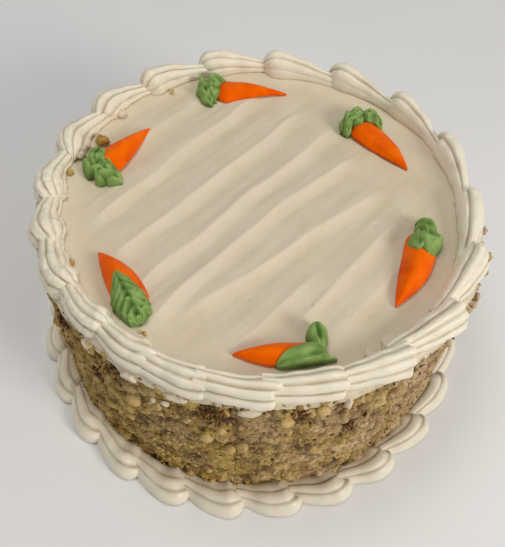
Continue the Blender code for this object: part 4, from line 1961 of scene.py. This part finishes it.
@dataclass
class CarrotGreens:
    """One carrot's piped greens: its fronds and curls, joined in one piece."""

    root: CarrotRoot
    fronds: tuple[Frond, ...]
    limit: float = 88.5 * MM

    def build(self) -> None:
        """Build the greens."""
        skin = Skin()
        number = self.root.number
        for index, frond in enumerate(self.fronds):
            frond.add_to(skin, self.root, self.limit, 10 * number + index)
        settle(f"carrot_leaves_{number}", skin, GREEN, (f"carrot_greens_{number}",))


CARROTS: tuple[tuple[CarrotPlace, tuple[Frond, ...]], ...] = (
    (CarrotPlace(83.8, 0.0768, 7.0, 0.038, 8.0, 0.92, 1.4), (
        Frond(32.5, 5.2, 196.0, 80.0, 13.5, 5.0, 8.2, 0.20, 1.8, 0.4),
        Frond(42.5, 5.0, 278.0, 50.0, 16.0, 4.8, 7.4, 0.24, 2.4, 0.5),
        Frond(41.0, 5.0, 200.0, 30.0, 7.0, 4.6, 7.4, 0.20, 1.4, 0.3),
        Frond(38.5, 4.0, 262.0, 20.0, 11.0, 4.2, 8.4, 0.22, 1.6, 0.5),
        Frond(37.0, -1.0, 260.0, 190.0, 9.5, 1.7, 8.6, 0.20, 1.5),
    )),
    (CarrotPlace(21.8, 0.0751, 312.0, 0.037, 7.6, 2.1, 1.2), (
        Frond(27.0, 7.8, 200.0, 80.0, 17.0, 4.6, 8.8, 0.26, 2.4, 0.4, 1.0),
        Frond(40.5, 9.0, 277.0, 30.0, 19.5, 4.8, 8.6, 0.26, 3.0, 0.4, 0.8),
        Frond(38.0, 6.5, 15.0, 20.0, 7.0, 3.2, 8.8, 0.22, 1.4, 0.3),
        Frond(38.5, 0.5, 348.0, 10.0, 5.5, 3.0, 8.8, 0.22, 1.4, 0.3),
        Frond(38.5, -5.5, 325.0, 10.0, 5.5, 2.8, 8.0, 0.22, 1.4, 0.3),
        Frond(39.5, 3.0, 170.0, 20.0, 6.0, 4.2, 8.2, 0.22, 1.4, 0.3),
    )),
    (CarrotPlace(318.3, 0.0800, 250.0, 0.042, 7.4, 2.3, 2.0), (
        Frond(48.0, -0.5, 20.0, 6.0, 20.0, 6.6, 9.0, 0.08, 1.6, 0.4, 1.0),
        Frond(46.0, -2.0, 6.0, 8.0, 18.5, 4.4, 9.0, 0.10, 1.6, 0.5, 1.5),
        Frond(44.0, 2.0, 34.0, 16.0, 11.5, 4.4, 8.8, 0.12, 1.6, 0.4, 1.2),
        Frond(43.5, -0.5, 172.0, 20.0, 6.5, 5.4, 8.4, 0.14, 1.4),
        Frond(36.0, 3.0, 12.0, 10.0, 8.0, 4.0, 9.0, 0.12, 1.6, 0.5, 1.2),
        Frond(44.5, -4.5, 48.0, 12.0, 15.0, 1.5, 10.0, 0.15, 1.5),
        Frond(40.0, -4.0, 45.0, 12.0, 12.0, 1.3, 9.8, 0.15, 1.5),
    )),
    (CarrotPlace(265.6, 0.0828, 183.0, 0.038, 6.4, 2.3, 0.0), (
        Frond(38.0, -0.2, 14.0, -4.0, 21.6, 6.6, 8.8, 0.06, 1.6, 0.8, 0.62),
        Frond(35.0, 0.0, 281.0, 8.0, 15.5, 4.4, 9.0, 0.08, 1.4, 0.5, 1.2),
        Frond(34.0, 3.0, 160.0, -10.0, 4.5, 3.4, 7.0, 0.15, 1.4, 0.3),
        Frond(36.0, 2.0, 178.0, -14.0, 6.0, 2.0, 5.0, 0.05, 1.0),
    )),
    (CarrotPlace(209.8, 0.0786, 127.0, 0.036, 7.3, 2.6, -1.7), (
        Frond(41.5, 1.2, 357.0, -4.0, 25.0, 7.4, 8.4, 0.22, 6.2, 1.0, 0.66),
        Frond(34.0, 1.0, 52.0, 30.0, 7.0, 3.0, 8.2, 0.25, 2.2, 0.7),
        Frond(33.0, -0.5, 306.0, -30.0, 7.5, 3.0, 8.2, 0.25, 2.2, 0.7),
        Frond(36.0, 3.0, 140.0, 30.0, 6.5, 3.4, 7.2, 0.25, 2.0, 0.6),
        Frond(35.0, -1.0, 225.0, -30.0, 6.0, 3.2, 7.2, 0.25, 2.0, 0.6),
    )),
    (CarrotPlace(145.4, 0.0720, 59.0, 0.037, 7.8, 1.5, 0.0), (
        Frond(32.0, 1.5, 184.0, 20.0, 12.5, 7.2, 7.4, 0.12, 1.4, 0.4),
        Frond(37.5, 2.0, 26.0, -30.0, 12.5, 4.8, 8.4, 0.18, 1.6, 0.5),
        Frond(38.5, 0.0, 276.0, -10.0, 15.0, 5.2, 7.6, 0.24, 2.0, 0.5),
        Frond(36.0, -1.0, 300.0, 40.0, 7.5, 3.2, 7.8, 0.30, 2.0, 0.5),
        Frond(34.5, 2.0, 230.0, 190.0, 9.0, 1.7, 9.2, 0.20, 1.5),
        Frond(40.0, -3.0, 250.0, 150.0, 8.0, 1.5, 8.6, 0.20, 1.5),
    )),
)


# ---- the studio --------------------------------------------------------------------------

@dataclass(frozen=True)
class Viewpoint:
    """The camera: it looks down at the cake's base from the front, a little turned."""

    elevation: float = 57.759
    roll: float = 4.987
    pan: float = -0.274
    tilt: float = 3.194
    distance: float = 0.38281
    lens: float = 42.78

    def build(self) -> None:
        """Make the camera and hand it to the scene."""
        rise = math.radians(self.elevation)
        ahead = np.array([0.0, math.cos(rise), -math.sin(rise)])
        right = np.array([1.0, 0.0, 0.0])
        up = np.cross(right, ahead)
        place = -ahead * self.distance
        ahead, up = self.turned(ahead, up, self.tilt)
        ahead, right = self.turned(ahead, right, self.pan)
        right, up = self.turned(right, up, self.roll)
        camera = bpy.data.cameras.new("camera")
        camera.lens = self.lens
        camera.sensor_width = 36.0
        camera.clip_start = 0.01
        stand = bpy.data.objects.new("camera", camera)
        bpy.context.scene.collection.objects.link(stand)
        matrix = np.eye(4)
        matrix[:3, 0], matrix[:3, 1], matrix[:3, 2], matrix[:3, 3] = right, up, -ahead, place
        stand.matrix_world = Matrix(matrix.tolist())
        bpy.context.scene.camera = stand

    @staticmethod
    def turned(one: Array, other: Array, degrees: float) -> tuple[Array, Array]:
        """Return two square directions turned together, the first towards the second.

        Args:
            one: the first direction.
            other: the second direction.
            degrees: the turn.

        Returns:
            The two turned directions.
        """
        angle = math.radians(degrees)
        return (one * math.cos(angle) + other * math.sin(angle),
                other * math.cos(angle) - one * math.sin(angle))


@dataclass(frozen=True)
class Lamp:
    """A soft square light, aimed at the cake."""

    name: str
    place: tuple[float, float, float]
    size: float
    watts: float
    colour: Colour

    def build(self) -> None:
        """Make the light and aim it at the middle of the cake."""
        light = bpy.data.lights.new(self.name, "AREA")
        light.size = self.size
        light.energy = self.watts
        light.color = self.colour
        lamp = bpy.data.objects.new(self.name, light)
        lamp.location = self.place
        aim = -(np.array(self.place) - np.array([0.0, 0.0, 0.05]))
        down = aim / np.linalg.norm(aim)
        side = np.cross(down, np.array([0.0, 1.0, 0.01]))
        side = side / np.linalg.norm(side)
        matrix = np.eye(4)
        matrix[:3, 0], matrix[:3, 1], matrix[:3, 2] = side, np.cross(-down, side), -down
        matrix[:3, 3] = self.place
        lamp.matrix_world = Matrix(matrix.tolist())
        bpy.context.scene.collection.objects.link(lamp)


@dataclass
class Studio:
    """The pale floor, the soft light and the camera."""

    floor_size: float = 6.0
    lamps: tuple[Lamp, ...] = (
        Lamp("ceiling", (-0.25, 0.10, 1.30), 0.55, 4.9, (1.0, 0.98, 0.95)),
        Lamp("window", (0.90, -0.62, 0.66), 0.40, 7.6, (1.0, 0.98, 0.95)),
    )
    sky: Colour = (0.95, 0.96, 1.0)
    sky_strength: float = 0.33

    def build(self) -> None:
        """Build the studio."""
        half = self.floor_size / 2.0
        side = np.linspace(-half, half, 9)
        x, y = np.meshgrid(side, side, indexing="ij")
        skin = Skin()
        skin.add(np.stack([x, y, np.zeros_like(x)], axis=-1), [strip_quads(9, 9, False)])
        mesh = skin.mesh("table", smooth=True)
        mesh.materials.append(PAPER.material())
        table = bpy.data.objects.new("table", mesh)
        bpy.context.scene.collection.objects.link(table)
        for lamp in self.lamps:
            lamp.build()
        world = bpy.data.worlds.new("studio")
        world.use_nodes = True
        shade = world.node_tree.nodes["Background"]
        shade.inputs["Color"].default_value = (*self.sky, 1.0)
        shade.inputs["Strength"].default_value = self.sky_strength
        scene = bpy.context.scene
        scene.world = world
        scene.view_settings.view_transform = "Standard"
        Viewpoint().build()


# ---- the whole cake ----------------------------------------------------------------------

def main() -> None:
    """Build the cake's pieces in order, then the studio."""
    logging.basicConfig(level=logging.INFO, format="%(name)s: %(message)s")
    wall_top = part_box("cake_body")[1].z
    icing_low, icing_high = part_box("top_icing")
    wall = NutWall(radius=0.1030, top=wall_top)
    wall.build()
    LooseNuts(wall, lowest=3 * MM, highest=wall_top + 4.5 * MM).build()
    FallenNuts(STRAYS, STRAY_CLUSTERS).build()
    FallenNuts(KNOTS, KNOT_CLUSTERS).build()
    CreamDabs().build()
    IcedTop(rim=icing_high.x, top=0.0965, foot=icing_low.z + 3.2 * MM).build()
    ShellBorder("top_shell", TOP_TIP, TOP_HAND, Seed.TOP_BORDER, reach=6.85 * MM,
                arc=(184.0, -14.0), tuck=0.20, wall=0.0,
                steps=(-1.2 * MM, 0.4 * MM, 1.5 * MM, 0.3 * MM, -1.0 * MM)).build()
    ShellBorder("base_shell", BASE_TIP, BASE_HAND, Seed.BASE_BORDER, reach=7.8 * MM,
                arc=(178.0, 2.0), tuck=0.22, wall=0.1020,
                steps=(-1.0 * MM, -1.2 * MM, 0.6 * MM), inner=1.35, ragged=0.16 * MM).build()
    bed = icing_high.z - 0.2 * MM
    for number, (place, fronds) in enumerate(CARROTS, start=1):
        root = CarrotRoot(number, place, bed, min(f.back - f.length for f in fronds) * MM)
        root.build()
        CarrotGreens(root, fronds).build()
    Studio().build()


if __name__ == "__main__":
    main()
